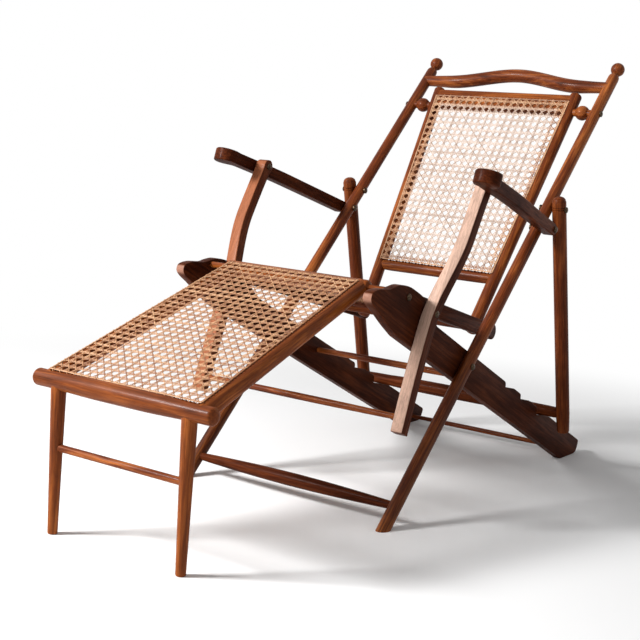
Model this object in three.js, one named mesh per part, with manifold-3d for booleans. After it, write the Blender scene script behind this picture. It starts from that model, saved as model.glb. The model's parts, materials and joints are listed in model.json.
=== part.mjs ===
import * as THREE from 'three';
import { mergeVertices } from 'three/addons/utils/BufferGeometryUtils.js';
import Module from 'manifold-3d';

// A folding deck chair in stained hardwood, with cane in the back, the seat and the leg rest.
// Millimetres, +Z up. The sitter faces -Y, and +X is on the sitter's left.
// Two long poles cross two planks. The poles carry the back, the planks carry the seat and leg rest.

const { degToRad, smoothstep, lerp } = THREE.MathUtils;
const wasm = await Module();
wasm.setup();

// Clearances and fineness
const gap = 0.3;
const overrun = 4;
const weld = 0.0001;
const roundSides = 16;
const rodSides = 12;
const boltSides = 8;
const arcSteps = 6;
const swellSteps = 8;

// Planks of the side frame: long boards from the nose under the leg rest to the floor at the rear
const plankAngle = degToRad(-24.5);
const plankWidth = 68.4;
const plankThickness = 19.6;
const planksApart = 424;
const headLength = 258;
const headStart = 136;
const plankRear = 691;
const plankHeel = 9;
const plankTailCorner = 8;

// Poles, which cross the planks and carry the back
const poleAngle = degToRad(46);
const poleDiameter = 26;
const poleFootReach = 396.3;
const poleTopReach = 891.7;
const finialDiameter = 32;
const finialNeckDiameter = 12;
const finialNeckLength = 6;
const poleShoulder = 9;

// Places along a pole, counted up from where it crosses its plank
const armPivotReach = 383.8;
const propPivotReach = 441.7;
const backPivotReach = 741.7;
const topRailReach = 833;
const spindleReach = -342;

// Cross pieces between the poles
const topRailEndDiameter = 22;
const topRailDiameter = 33;
const topRailRise = 21;
const spindleEndDiameter = 15;
const spindleDiameter = 27.5;

// Prop frame behind the back
const propDiameter = 31;
const propFootDiameter = 28;
const propTop = 29;
const propDome = 11;
const propRing = 22;
const propRingDepth = 1.5;
const propRailReach = 487;
const propFootReach = 533;
const propFootRound = 4;
const propRailDiameter = 32;
const propRailSeatDiameter = 26;
const propRailEndDiameter = 23;

// Notches in the planks that hold the prop frame's rail
const notchRailUp = 41;
const notchSpacings = [219, 130, 0];
const notchLeads = [15, 16, 44];
const notchStep = 10;
const notchSlope = degToRad(13);

// Stretchers between the planks
const midStretcherAlong = 140;
const midStretcherUp = 10;
const midStretcherDiameter = 15;
const rearStretcherInset = 57;
const rearStretcherUp = -3;
const rearStretcherDiameter = 12;

// Caned back
const backLength = 575;
const stileDiameter = 28;
const stileTop = 52;
const stileTail = 15;
const stileRound = 7;
const backTopHalf = 181.5;
const backBottomHalf = 150;
const backTopRailUp = 31.4;
const backBottomRailDown = 452;
const backRailDiameter = 25;
const beadDiameter = 34;
const beadCollarDiameter = 17;

// Caned seat
const seatLength = 447.8;
const seatBarHeight = 32;
const seatBarThickness = 19;
const seatEyeDiameter = 35;
const seatFrontRail = 27;
const seatRearRailShort = 46;
const seatRailDiameter = 23;

// Arm supports, bowed bars bolted to the planks
const supportWidth = 26;
const supportDepth = 25;
const supportHeadDiameter = 29;
const supportFootLength = 238;
const supportFootAngle = degToRad(-110);
const supportFlare = 26;
const supportFlareStart = 12;
const supportEdge = 2;
const supportRodUp = 30;
const supportRodDiameter = 14;

// Arms
const armRise = degToRad(16);
const armSupportReach = 320.4;
const armLength = 423;
const armThickness = 30;
const armWidth = 60;
const armRearWidth = 27;
const armPoleGap = 1.5;
const armSupportGap = 1.6;
const armWaist = 190;

// Leg rest
const legRestAngle = degToRad(20.64);
const legRestLength = 502;
const legRailDiameter = 29;
const legRestRearHalf = 153;
const legRestFrontHalf = 172;
const frontRailDiameter = 31;
const frontRailHalf = 205;
const frontRailDome = 8;
const rearRailDiameter = 28;
const pegDiameter = 12;
const pegShort = 3;
const legHalf = 149;
const legTopDiameter = 25;
const legFootDiameter = 18;
const legStretcherHeight = 156;
const legStretcherDiameter = 13.5;

// Cane sheets, with the woven openings grouped into larger eight-sided ones
const caneThickness = 2.4;
const canePitch = 43;
const caneOpening = 30;
const caneMargin = 19;

// Bolts and screws
const boltDiameter = 6;
const boltHeadDiameter = 14;
const boltHeadHeight = 4;
const boltClearance = 0.5;

// Colours and finishes
const wood = { color: 0x7d4526, roughness: 0.42, metalness: 0 };
const darkWood = { color: 0x5a2f1b, roughness: 0.45, metalness: 0 };
const paleCane = { color: 0xd9bd92, roughness: 0.65, metalness: 0 };
const tanCane = { color: 0xc8976a, roughness: 0.65, metalness: 0 };
const darkMetal = { color: 0x4a4038, roughness: 0.4, metalness: 0.9 };

// Outline of a plank's head: shares of the head's length from its shoulder, and of the plank's width
const headTopShares = [
  [0.99, 0.05], [0.965, 0.17], [0.911, 0.3], [0.849, 0.395], [0.779, 0.5], [0.729, 0.637],
  [0.655, 0.804], [0.554, 0.914], [0.457, 0.947], [0.287, 0.925], [0.13, 0.67],
];
const headUnderShares = [[0.54, -0.5], [0.674, -0.42], [0.829, -0.3], [0.926, -0.25], [0.981, -0.14]];

// Pivots on a plank's head, as the same two shares
const seatPivotShares = [0.5233, 0.6433];
const supportPivotShares = [0.2481, 0.5936];
const legRestPivotShares = [0.6938, 0.5556];

// Places that follow from the sizes, as points seen from the side
const sidePoint = (y, z) => ({ y, z });
const along = (from, angle, reach) =>
  sidePoint(from.y + Math.cos(angle) * reach, from.z + Math.sin(angle) * reach);
const reachTo = (from, to) => Math.hypot(to.y - from.y, to.z - from.z);
const angleTo = (from, to) => Math.atan2(to.z - from.z, to.y - from.y);

const poleFoot = sidePoint(0, 0);
const crossing = along(poleFoot, poleAngle, poleFootReach);
const onPole = (reach) => along(crossing, poleAngle, reach);
const onPlank = (reach, up) => along(along(crossing, plankAngle, reach), plankAngle + Math.PI / 2, up);
const headAlong = (lengthShare) => -headStart - headLength * lengthShare;
const headPlace = ([lengthShare, widthShare]) => sidePoint(headAlong(lengthShare), plankWidth * widthShare);
const onHead = ([lengthShare, widthShare]) => onPlank(headAlong(lengthShare), plankWidth * widthShare);

const plankInner = planksApart / 2;
const plankOuter = plankInner + plankThickness;
const poleHalf = plankOuter + gap + poleDiameter / 2;
const poleOuter = poleHalf + poleDiameter / 2;
const propHalf = poleOuter + gap + propDiameter / 2;
const supportInner = plankOuter + gap;
const armInner = poleOuter + armPoleGap;
const armTipInner = supportInner + supportWidth + supportFlare + armSupportGap;
const armSplay = (armTipInner - armInner) / armSupportReach;
const armBoltSeat = armInner + armRearWidth + boltHeadDiameter * armSplay;

const armPivot = onPole(armPivotReach);
const propPivot = onPole(propPivotReach);
const backPivot = onPole(backPivotReach);
const propPivotHeight = propPivotReach * Math.sin(poleAngle - plankAngle) - notchRailUp;
const propRailAlong = propPivotReach * Math.cos(poleAngle - plankAngle)
  + Math.sqrt(propRailReach ** 2 - propPivotHeight ** 2);
const propRail = onPlank(propRailAlong, notchRailUp);
const propAngle = angleTo(propPivot, propRail) + Math.PI / 2;
const seatPivot = onHead(seatPivotShares);
const supportPivot = onHead(supportPivotShares);
const legRestPivot = onHead(legRestPivotShares);
const armTip = along(armPivot, Math.PI - armRise, armSupportReach);

// The knee, where the back's stiles meet the seat's bars: a triangle of two lengths on a known base
const kneeBase = reachTo(seatPivot, backPivot);
const kneeCorner = Math.acos((seatLength ** 2 + kneeBase ** 2 - backLength ** 2) / (2 * seatLength * kneeBase));
const seatAngle = angleTo(seatPivot, backPivot) - kneeCorner;
const knee = along(seatPivot, seatAngle, seatLength);
const backAngle = angleTo(knee, backPivot);

// Turns a side point into the Y and Z of a group that stands at a pivot and leans by an angle
function seenFrom(pivot, lean, point) {
  const reach = reachTo(pivot, point);
  const angle = angleTo(pivot, point) - lean;
  return sidePoint(Math.cos(angle) * reach, Math.sin(angle) * reach);
}

// Groups and pieces
function bodyAt(pivot, lean) {
  const group = new THREE.Group();
  group.position.set(0, pivot.y, pivot.z);
  group.rotation.x = lean;
  return group;
}

function piece(name, geometry, look) {
  const mesh = new THREE.Mesh(geometry, new THREE.MeshStandardMaterial(look));
  mesh.name = name;
  return mesh;
}

const sides = [['left', 1], ['right', -1]];

// Solids for cuts and joins
function toSolid(geometry) {
  const bare = geometry.clone();
  bare.deleteAttribute('normal');
  bare.deleteAttribute('uv');
  const merged = mergeVertices(bare, weld);
  const corners = [...merged.index.array];
  const triVerts = [];
  for (let i = 0; i < corners.length; i += 3) {
    const [a, b, c] = corners.slice(i, i + 3);
    if (a !== b && b !== c && c !== a) triVerts.push(a, b, c);
  }
  const vertProperties = merged.attributes.position.array;
  return new wasm.Manifold(new wasm.Mesh({ numProp: 3, vertProperties, triVerts: new Uint32Array(triVerts) }));
}

function toGeometry(solid) {
  const { vertProperties, triVerts } = solid.getMesh();
  const geometry = new THREE.BufferGeometry();
  geometry.setAttribute('position', new THREE.BufferAttribute(new Float32Array(vertProperties), 3));
  geometry.setIndex([...triVerts]);
  geometry.computeVertexNormals();
  return geometry;
}

const cut = (geometry, ...cutters) =>
  toGeometry(cutters.reduce((solid, cutter) => solid.subtract(toSolid(cutter)), toSolid(geometry)));

// A turned piece along +Y, from pairs of distance and radius
function turned(profile, turnSides = rodSides) {
  const closed = [[profile[0][0], 0], ...profile, [profile[profile.length - 1][0], 0]];
  return new THREE.LatheGeometry(closed.map(([reach, radius]) => new THREE.Vector2(radius, reach)), turnSides);
}

// Lays a piece that runs along +Y so that it starts at one point and runs towards another
function laid(geometry, from, to) {
  const run = new THREE.Vector3().subVectors(to, from).normalize();
  const turn = new THREE.Quaternion().setFromUnitVectors(new THREE.Vector3(0, 1, 0), run);
  return geometry.applyQuaternion(turn).translate(from.x, from.y, from.z);
}

// A turned piece across the chair, centred on the middle, at a side point
function across(half, profile, at, turnSides = rodSides) {
  const start = new THREE.Vector3(-half, at.y, at.z);
  return laid(turned(profile, turnSides), start, new THREE.Vector3(half, at.y, at.z));
}

// Profile that swells smoothly from its ends to its middle
function swelled(length, endRadius, middleRadius) {
  const profile = [];
  for (let i = 0; i <= swellSteps; i += 1) {
    const share = i / swellSteps;
    profile.push([length * share, lerp(endRadius, middleRadius, Math.sin(Math.PI * share))]);
  }
  return profile;
}

// Quarter-round end of a profile, from its tip to its full radius
function roundEnd(tip, depth, radius) {
  const points = [];
  for (let i = 1; i < arcSteps; i += 1) {
    const angle = (Math.PI / 2) * (i / arcSteps);
    points.push([tip + depth * (1 - Math.cos(angle)), radius * Math.sin(angle)]);
  }
  points.push([tip + depth, radius]);
  return points;
}

const flipped = (profile, length) => profile.map(([reach, radius]) => [length - reach, radius]).reverse();

// A closed skin through rings of points that have like counts, each ring flat and convex
function lofted(rings) {
  const count = rings[0].length;
  const index = [];
  const face = (a, b, c) => index.push(a, b, c);
  for (let row = 1; row < rings.length; row += 1) {
    for (let i = 0; i < count; i += 1) {
      const [low, lowNext] = [(row - 1) * count + i, (row - 1) * count + ((i + 1) % count)];
      face(low, lowNext, lowNext + count);
      face(low, lowNext + count, low + count);
    }
  }
  const last = (rings.length - 1) * count;
  for (let i = 2; i < count; i += 1) {
    face(0, i, i - 1);
    face(last, last + i - 1, last + i);
  }
  const places = rings.flat().flatMap((point) => point.toArray());
  const geometry = new THREE.BufferGeometry();
  geometry.setAttribute('position', new THREE.BufferAttribute(new Float32Array(places), 3));
  geometry.setIndex(index);
  return geometry.toNonIndexed();
}

// A plain round cutter across the chair at a side point
function crossHole(x, at, diameter, reach) {
  const radius = diameter / 2;
  const start = new THREE.Vector3(x - reach, at.y, at.z);
  return laid(turned([[0, radius], [2 * reach, radius]], rodSides), start, new THREE.Vector3(x + reach, at.y, at.z));
}

const boltHole = boltDiameter + 2 * boltClearance;

// A board cut to a side outline in Y and Z, with its inner face at a distance from the middle
function board(outline, inner, thickness, side) {
  const settings = { depth: thickness, bevelEnabled: false, curveSegments: arcSteps };
  const geometry = new THREE.ExtrudeGeometry(outline, settings);
  const sideways = new THREE.Matrix4().makeBasis(
    new THREE.Vector3(0, 1, 0), new THREE.Vector3(0, 0, 1), new THREE.Vector3(1, 0, 0));
  geometry.applyMatrix4(sideways);
  return geometry.translate(side > 0 ? inner : -inner - thickness, 0, 0);
}

// Adds a round hole to an outline that runs clockwise, so the hole runs the other way
function roundHole(shape, at, diameter) {
  const hole = new THREE.Path();
  hole.absarc(at.y, at.z, diameter / 2, 0, Math.PI * 2, false);
  shape.holes.push(hole);
}

// A pin across the chair with a domed head at its outer end
function pin(inner, outer, at, side, start = []) {
  const shank = boltDiameter / 2;
  const head = boltHeadDiameter / 2;
  const first = start.length ? start[start.length - 1][0] : 0;
  const grip = first + outer - inner;
  const profile = [...start, [first, shank], [grip, shank], [grip, head],
    [grip + boltHeadHeight / 2, head * 0.9], [grip + boltHeadHeight, head * 0.45]];
  const from = new THREE.Vector3(side * (inner - first), at.y, at.z);
  return laid(turned(profile, boltSides), from, new THREE.Vector3(side * (outer + overrun), at.y, at.z));
}

// A bolt across the chair with a domed head outside and a nut inside
function bolt(inner, outer, at, side) {
  const nut = boltHeadDiameter / 2;
  return pin(inner, outer, at, side, [[0, nut], [boltHeadHeight, nut]]);
}

// Adds a pair of like bolts or pins to a group
function addPair(frame, label, make, inner, outer, at) {
  sides.forEach(([name, side]) => {
    frame.add(piece(`${label}_${name}`, make(inner - gap, outer + gap, at, side), darkMetal));
  });
}

// Cane sheet in X and Y between two straight edges of different width
function caneSheet(fromY, fromHalf, toY, toHalf) {
  const corners = [[-fromHalf, fromY], [fromHalf, fromY], [toHalf, toY], [-toHalf, toY]];
  const sheet = new THREE.Shape(corners.map(([x, y]) => new THREE.Vector2(x, y)));
  const reach = canePitch / 2;
  const rows = Math.floor((toY - fromY - 2 * caneMargin) / canePitch);
  const middle = (fromY + toY) / 2;
  for (let row = 0; row < rows; row += 1) {
    const y = middle + (row - (rows - 1) / 2) * canePitch;
    const half = lerp(fromHalf, toHalf, (y - fromY) / (toY - fromY)) - caneMargin;
    for (let column = -Math.floor((half - reach) / canePitch); column * canePitch + reach <= half; column += 1) {
      sheet.holes.push(caneEye(column * canePitch, y));
    }
  }
  const settings = { depth: caneThickness, bevelEnabled: false };
  return new THREE.ExtrudeGeometry(sheet, settings).translate(0, 0, -caneThickness / 2);
}

// One eight-sided opening in the cane
function caneEye(x, y) {
  const radius = caneOpening / 2 / Math.cos(Math.PI / 8);
  const eye = [];
  for (let i = 0; i < 8; i += 1) {
    const angle = ((i + 0.5) / 8) * Math.PI * 2;
    eye.push(new THREE.Vector2(x + radius * Math.cos(angle), y + radius * Math.sin(angle)));
  }
  return new THREE.Path(eye.reverse());
}

// A cane sheet lies on the round rails of one size, and stops short of a thicker rail's crest
const caneLift = (diameter) => diameter / 2 + gap + caneThickness / 2;
const caneInset = (thicker, diameter) =>
  Math.sqrt(Math.max((thicker / 2 + gap) ** 2 - (caneLift(diameter) - caneThickness / 2) ** 2, 0)) + gap;

// Side frame: two planks and the stretchers between them
const floorAlong = (up) => (crossing.z + up * Math.cos(plankAngle)) / -Math.sin(plankAngle);
const floorUp = (reach) => -(crossing.z + reach * Math.sin(plankAngle)) / Math.cos(plankAngle);

// A stepped notch: a short drop, then a ledge that rises slowly to the plank's edge
function addNotch(shape, seatAlong, lead) {
  const edge = plankWidth / 2;
  const rise = Math.tan(notchSlope);
  const railDrop = (propRailSeatDiameter / 2 + gap) / Math.cos(notchSlope);
  const ledge = (reach) => notchRailUp - railDrop + (reach - seatAlong) * rise;
  const start = seatAlong - lead;
  shape.lineTo(start - notchStep, edge);
  shape.quadraticCurveTo(start - notchStep / 3, edge, start, ledge(start));
  shape.lineTo(seatAlong + (edge - ledge(seatAlong)) / rise, edge);
}

function plankOutline() {
  const edge = plankWidth / 2;
  const headPoint = ([lengthShare, widthShare]) =>
    new THREE.Vector2(headAlong(lengthShare), plankWidth * widthShare);
  const shape = new THREE.Shape();
  shape.moveTo(-headStart, edge);
  notchSpacings.forEach((spacing, i) => addNotch(shape, propRailAlong - spacing, notchLeads[i]));
  shape.lineTo(plankRear - plankTailCorner, edge);
  shape.quadraticCurveTo(plankRear, edge, plankRear, edge - plankTailCorner);
  const heelEnd = plankRear - plankHeel * 2;
  shape.lineTo(plankRear, floorUp(plankRear) + plankHeel);
  shape.quadraticCurveTo(plankRear, floorUp(plankRear), heelEnd, floorUp(heelEnd));
  shape.lineTo(floorAlong(-edge), -edge);
  shape.lineTo(headAlong(headUnderShares[0][0]), -edge);
  shape.splineThru([...headUnderShares, ...headTopShares].slice(1).map(headPoint));
  shape.lineTo(-headStart, edge);
  roundHole(shape, sidePoint(0, 0), boltHole);
  roundHole(shape, headPlace(seatPivotShares), boltHole);
  roundHole(shape, headPlace(supportPivotShares), boltHole);
  roundHole(shape, headPlace(legRestPivotShares), pegDiameter + 2 * boltClearance);
  return shape;
}

function sideFrame() {
  const frame = bodyAt(crossing, plankAngle);
  const outline = plankOutline();
  sides.forEach(([name, side]) => {
    frame.add(piece(`side_plank_${name}`, board(outline, plankInner, plankThickness, side), darkWood));
  });
  const half = plankInner - gap;
  const midAt = sidePoint(midStretcherAlong, midStretcherUp);
  const rearAt = sidePoint(plankRear - rearStretcherInset, rearStretcherUp);
  const midProfile = swelled(2 * half, midStretcherDiameter * 0.4, midStretcherDiameter / 2);
  const rearProfile = swelled(2 * half, rearStretcherDiameter * 0.4, rearStretcherDiameter / 2);
  frame.add(piece('plank_stretcher_middle', across(half, midProfile, midAt), wood));
  frame.add(piece('plank_stretcher_rear', across(half, rearProfile, rearAt), wood));
  addPair(frame, 'pole_pivot_bolt', bolt, plankInner, poleOuter, sidePoint(0, 0));
  const supportAt = headPlace(supportPivotShares);
  addPair(frame, 'support_pivot_bolt', bolt, plankInner, supportInner + supportWidth, supportAt);
  return frame;
}

// Back poles: two poles with ball finials, the top rail, the spindle near the floor and two beads
function poleProfile() {
  const radius = poleDiameter / 2;
  const ball = finialDiameter / 2;
  const neck = finialNeckDiameter / 2;
  const ballStart = -Math.acos(neck / ball);
  const neckTop = poleTopReach + ball * Math.sin(ballStart);
  const neckFoot = neckTop - finialNeckLength;
  const shoulder = neckFoot - poleShoulder;
  const profile = [[-poleFootReach - poleDiameter, radius], [shoulder, radius],
    [lerp(shoulder, neckFoot, 0.55), radius * 0.88], [neckFoot, neck]];
  for (let i = 0; i < arcSteps + 2; i += 1) {
    const angle = lerp(ballStart, Math.PI / 2, i / (arcSteps + 2));
    profile.push([poleTopReach + ball * Math.sin(angle), ball * Math.cos(angle)]);
  }
  profile.push([poleTopReach + ball, 0]);
  return profile;
}

function pole(side) {
  const profile = poleProfile();
  const low = new THREE.Vector3(side * poleHalf, 0, profile[0][0]);
  const high = new THREE.Vector3(side * poleHalf, 0, 0);
  const shifted = profile.map(([reach, radius]) => [reach - profile[0][0], radius]);
  const floorSize = 3 * poleDiameter;
  const floor = new THREE.BoxGeometry(floorSize, floorSize, floorSize).translate(0, 0, -floorSize / 2);
  floor.rotateX(Math.PI / 2 - poleAngle).translate(side * poleHalf, 0, -poleFootReach);
  const drill = (reach) => crossHole(side * poleHalf, sidePoint(0, reach), boltHole, poleDiameter);
  const holes = [0, armPivotReach, propPivotReach, backPivotReach].map(drill);
  return cut(laid(turned(shifted, roundSides), low, high), floor, ...holes);
}

// Sleeves round both poles that cut a cross piece to meet them
const poleSleeves = (at) => sides.map(([, side]) => {
  const radius = poleDiameter / 2 + gap;
  const low = new THREE.Vector3(side * poleHalf, at.y, at.z - poleDiameter * 2);
  const high = new THREE.Vector3(side * poleHalf, at.y, at.z);
  return laid(turned([[0, radius], [4 * poleDiameter, radius]], roundSides), low, high);
});

function topRail() {
  const half = poleHalf;
  const steps = 2 * swellSteps;
  const profile = [];
  for (let i = 0; i <= steps; i += 1) {
    const share = i / steps;
    const fullness = smoothstep(Math.min(share, 1 - share), 0, 0.22);
    profile.push([2 * half * share, lerp(topRailEndDiameter, topRailDiameter, fullness) / 2]);
  }
  const at = sidePoint(0, topRailReach);
  const rail = across(half, profile, at);
  const places = rail.attributes.position;
  for (let i = 0; i < places.count; i += 1) {
    const share = Math.min(Math.abs(places.getX(i)) / poleHalf, 1);
    places.setZ(i, places.getZ(i) + topRailRise * (1 - smoothstep(share, 0.05, 0.95)));
  }
  return cut(rail, ...poleSleeves(at));
}

function spindle() {
  const at = sidePoint(0, spindleReach);
  const profile = swelled(2 * poleHalf, spindleEndDiameter / 2, spindleDiameter / 2);
  return cut(across(poleHalf, profile, at), ...poleSleeves(at));
}

// Bead between a pole and a stile of the caned back
function bead(side) {
  const collar = beadCollarDiameter / 2;
  const ball = beadDiameter / 2;
  const inner = stileOuterAt(0) + gap + collar * stileSplay;
  const outer = poleHalf - poleDiameter / 2 - gap;
  const length = outer - inner;
  const start = Math.acos(collar / ball);
  const profile = [[0, collar]];
  for (let i = 0; i <= 2 * arcSteps; i += 1) {
    const angle = lerp(-start, start, i / (2 * arcSteps));
    profile.push([length / 2 + ball * Math.sin(angle), ball * Math.cos(angle)]);
  }
  profile.push([length, collar]);
  const at = sidePoint(0, backPivotReach);
  const from = new THREE.Vector3(side * inner, at.y, at.z);
  const to = new THREE.Vector3(side * outer, at.y, at.z);
  return cut(laid(turned(profile), from, to), crossHole(side * (inner + outer) / 2, at, boltHole, length));
}

function backPoles() {
  const frame = bodyAt(crossing, poleAngle - Math.PI / 2);
  sides.forEach(([name, side]) => {
    frame.add(piece(`back_pole_${name}`, pole(side), wood));
    frame.add(piece(`spacer_bead_${name}`, bead(side), wood));
  });
  frame.add(piece('top_rail', topRail(), wood));
  frame.add(piece('front_stretcher', spindle(), darkWood));
  const poleInner = poleHalf - poleDiameter / 2;
  const stileInner = stileOuterAt(0) - stileDiameter;
  const backAt = sidePoint(0, backPivotReach);
  const armAt = sidePoint(0, armPivotReach);
  const propAt = sidePoint(0, propPivotReach);
  addPair(frame, 'back_pivot_bolt', pin, stileInner, poleOuter, backAt);
  addPair(frame, 'arm_pivot_bolt', bolt, poleInner, armBoltSeat, armAt);
  addPair(frame, 'prop_pivot_bolt', bolt, poleInner, propHalf + propDiameter / 2, propAt);
  return frame;
}

// Prop frame: two posts and the rail that rests in the planks' notches
function propPost(side) {
  const length = propTop + propFootReach;
  const radius = propDiameter / 2;
  const foot = propFootDiameter / 2;
  const ringAt = length - propRing;
  const profile = [...roundEnd(0, propFootRound, foot).slice(-3), [propFootReach - propRailReach, radius],
    [ringAt - 2 * propRingDepth, radius], [ringAt, radius - propRingDepth],
    [ringAt + 2 * propRingDepth, radius], ...flipped(roundEnd(0, propDome, radius), length)];
  const low = new THREE.Vector3(side * propHalf, 0, -propFootReach);
  const high = new THREE.Vector3(side * propHalf, 0, propTop);
  const post = laid(turned(profile, roundSides), low, high);
  return cut(post, crossHole(side * propHalf, sidePoint(0, 0), boltHole, propDiameter));
}

function propCrossRail() {
  const seat = plankInner - overrun;
  const shares = [[0, propRailEndDiameter], [1 - (plankOuter + overrun) / propHalf, propRailSeatDiameter],
    [1 - seat / propHalf, propRailSeatDiameter], [0.45, propRailDiameter - 1], [0.75, propRailDiameter]];
  const firstHalf = shares.map(([share, diameter]) => [propHalf * share, diameter / 2]);
  const profile = [...firstHalf, ...flipped(firstHalf, 2 * propHalf)];
  const at = sidePoint(0, -propRailReach);
  const posts = sides.map(([, side]) => {
    const radius = propDiameter / 2 + gap;
    const low = new THREE.Vector3(side * propHalf, 0, at.z - propDiameter * 2);
    return laid(turned([[0, radius], [4 * propDiameter, radius]], roundSides), low,
      new THREE.Vector3(side * propHalf, 0, 0));
  });
  return cut(across(propHalf, profile, at), ...posts);
}

function propFrame() {
  const frame = bodyAt(propPivot, propAngle);
  sides.forEach(([name, side]) => frame.add(piece(`prop_post_${name}`, propPost(side), wood)));
  frame.add(piece('prop_rail', propCrossRail(), darkWood));
  return frame;
}

// Caned back: two splayed stiles, two rails and the cane
const stileSplay = (backTopHalf - backBottomHalf) / (backTopRailUp + backBottomRailDown);
const stileAt = (up) => backTopHalf + (up - backTopRailUp) * stileSplay;
const stileOuterAt = (up) => stileAt(up) + (stileDiameter / 2) * Math.hypot(1, stileSplay);

function stile(side, extra = 0) {
  const low = -backLength - stileTail;
  const from = new THREE.Vector3(side * stileAt(low), 0, low);
  const to = new THREE.Vector3(side * stileAt(stileTop), 0, stileTop);
  const length = from.distanceTo(to);
  const end = roundEnd(0, stileRound, stileDiameter / 2 + extra);
  return laid(turned([...end, ...flipped(end, length)], roundSides), from, to);
}

function backRail(up) {
  const half = stileAt(up);
  const radius = backRailDiameter / 2;
  const rail = across(half, [[0, radius * 0.85], [stileDiameter, radius], [2 * half - stileDiameter, radius],
    [2 * half, radius * 0.85]], sidePoint(0, up));
  return cut(rail, stile(1, gap), stile(-1, gap));
}

function backPanel() {
  const frame = bodyAt(backPivot, backAngle - Math.PI / 2);
  sides.forEach(([name, side]) => {
    const drilled = cut(stile(side), crossHole(side * stileAt(0), sidePoint(0, 0), boltHole, stileDiameter));
    frame.add(piece(`back_stile_${name}`, drilled, wood));
  });
  frame.add(piece('back_rail_top', backRail(backTopRailUp), wood));
  frame.add(piece('back_rail_bottom', backRail(-backBottomRailDown), wood));
  const cane = caneSheet(-backBottomRailDown, backBottomHalf, backTopRailUp, backTopHalf);
  cane.rotateX(Math.PI / 2).translate(0, -caneLift(stileDiameter), 0);
  frame.add(piece('back_cane', cane, paleCane));
  return frame;
}

// Caned seat: two bars from the planks' heads back to the knee, two rails and the cane
const seatEye = seatEyeDiameter / 2;
const seatKneeInner = stileOuterAt(-backLength) + gap + seatEye * stileSplay;
const seatFrontOuter = plankInner - gap;
const seatTaper = (seatFrontOuter - seatBarThickness - seatKneeInner) / (seatLength + 2 * seatEye);
const seatBarInner = (reach) => seatFrontOuter - seatBarThickness - (reach + seatEye) * seatTaper;

function seatBar(side) {
  const half = seatBarHeight / 2;
  const inset = Math.asin(half / seatEye);
  const shape = new THREE.Shape();
  shape.absarc(0, 0, seatEye, inset, -inset + Math.PI * 2, false);
  shape.absarc(seatLength, 0, seatEye, Math.PI + inset, Math.PI * 3 - inset, false);
  const bar = board(shape, 0, seatBarThickness, side);
  bar.rotateZ(side * Math.atan(seatTaper)).translate(side * seatBarInner(0), 0, 0);
  const drill = (reach) =>
    crossHole(side * seatBarInner(reach), sidePoint(reach, 0), boltHole, 2 * seatBarThickness);
  return cut(bar, drill(0), drill(seatLength));
}

function seatRail(reach) {
  const half = seatBarInner(reach + seatRailDiameter / 2) - gap;
  const radius = seatRailDiameter / 2;
  return across(half, [[0, radius], [2 * half, radius]], sidePoint(reach, 0));
}

function seatPanel() {
  const frame = bodyAt(seatPivot, seatAngle);
  sides.forEach(([name, side]) => frame.add(piece(`seat_bar_${name}`, seatBar(side), darkWood)));
  const rear = seatLength - seatRearRailShort;
  frame.add(piece('seat_rail_front', seatRail(seatFrontRail), wood));
  frame.add(piece('seat_rail_rear', seatRail(rear), wood));
  const cane = caneSheet(seatFrontRail, seatBarInner(seatFrontRail) - gap, rear, seatBarInner(rear) - gap);
  frame.add(piece('seat_cane', cane.translate(0, 0, caneLift(seatRailDiameter)), tanCane));
  const slant = boltHeadDiameter * seatTaper;
  const kneeInner = seatBarInner(seatLength) + slant;
  addPair(frame, 'knee_pin', pin, kneeInner, kneeInner + seatBarThickness, sidePoint(seatLength, 0));
  addPair(frame, 'seat_pivot_bolt', bolt, seatBarInner(0) - slant, plankOuter, sidePoint(0, 0));
  return frame;
}

// Arm supports: bowed bars that flare outwards above the planks, joined by a rod near their feet
const supportFoot = along(supportPivot, supportFootAngle, supportFootLength);
const supportLean = angleTo(supportFoot, armTip) - Math.PI / 2;
const supportTopAt = seenFrom(supportPivot, supportLean, armTip);
const supportFootAt = seenFrom(supportPivot, supportLean, supportFoot);

// The middle line bows forwards, so that it passes through the pivot
function supportLine(share) {
  const z = lerp(supportFootAt.z, supportTopAt.z, share);
  const bow = 4 * share * (1 - share);
  return sidePoint(lerp(supportFootAt.y, supportTopAt.y, share) * (1 - bow), z);
}

// The bar stands straight beside the plank and leans outwards above the pivot
const supportInnerAt = (z) => supportInner + supportFlare * smoothstep(z, supportFlareStart, supportTopAt.z);

function supportSection(side, share) {
  const at = supportLine(share);
  const inner = side * supportInnerAt(at.z);
  const outer = inner + side * supportWidth;
  const front = at.y - supportDepth / 2;
  const rear = at.y + supportDepth / 2;
  const ring = [[inner, front], [outer, front], [outer, rear], [inner, rear]];
  return ring.map(([x, y]) => new THREE.Vector3(x, y, at.z));
}

function supportHead(side) {
  const radius = supportHeadDiameter / 2;
  const edge = supportEdge;
  const profile = [[0, radius - edge], [edge, radius], [supportWidth - edge, radius], [supportWidth, radius - edge]];
  const inner = side * (supportInner + supportFlare);
  const from = new THREE.Vector3(inner, supportTopAt.y, supportTopAt.z);
  return laid(turned(profile, roundSides), from, new THREE.Vector3(2 * inner, supportTopAt.y, supportTopAt.z));
}

function armSupport(side) {
  const sections = [];
  for (let i = 0; i <= 2 * swellSteps; i += 1) {
    sections.push(supportSection(side, i / (2 * swellSteps)));
  }
  if (side < 0) sections.reverse();
  const middle = supportInner + supportWidth / 2;
  const pivotHole = crossHole(side * middle, sidePoint(0, 0), boltHole, supportWidth);
  const topHole = crossHole(side * (middle + supportFlare), supportTopAt, boltHole, supportWidth);
  return toGeometry(toSolid(lofted(sections)).add(toSolid(supportHead(side)))
    .subtract(toSolid(pivotHole)).subtract(toSolid(topHole)));
}

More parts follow.
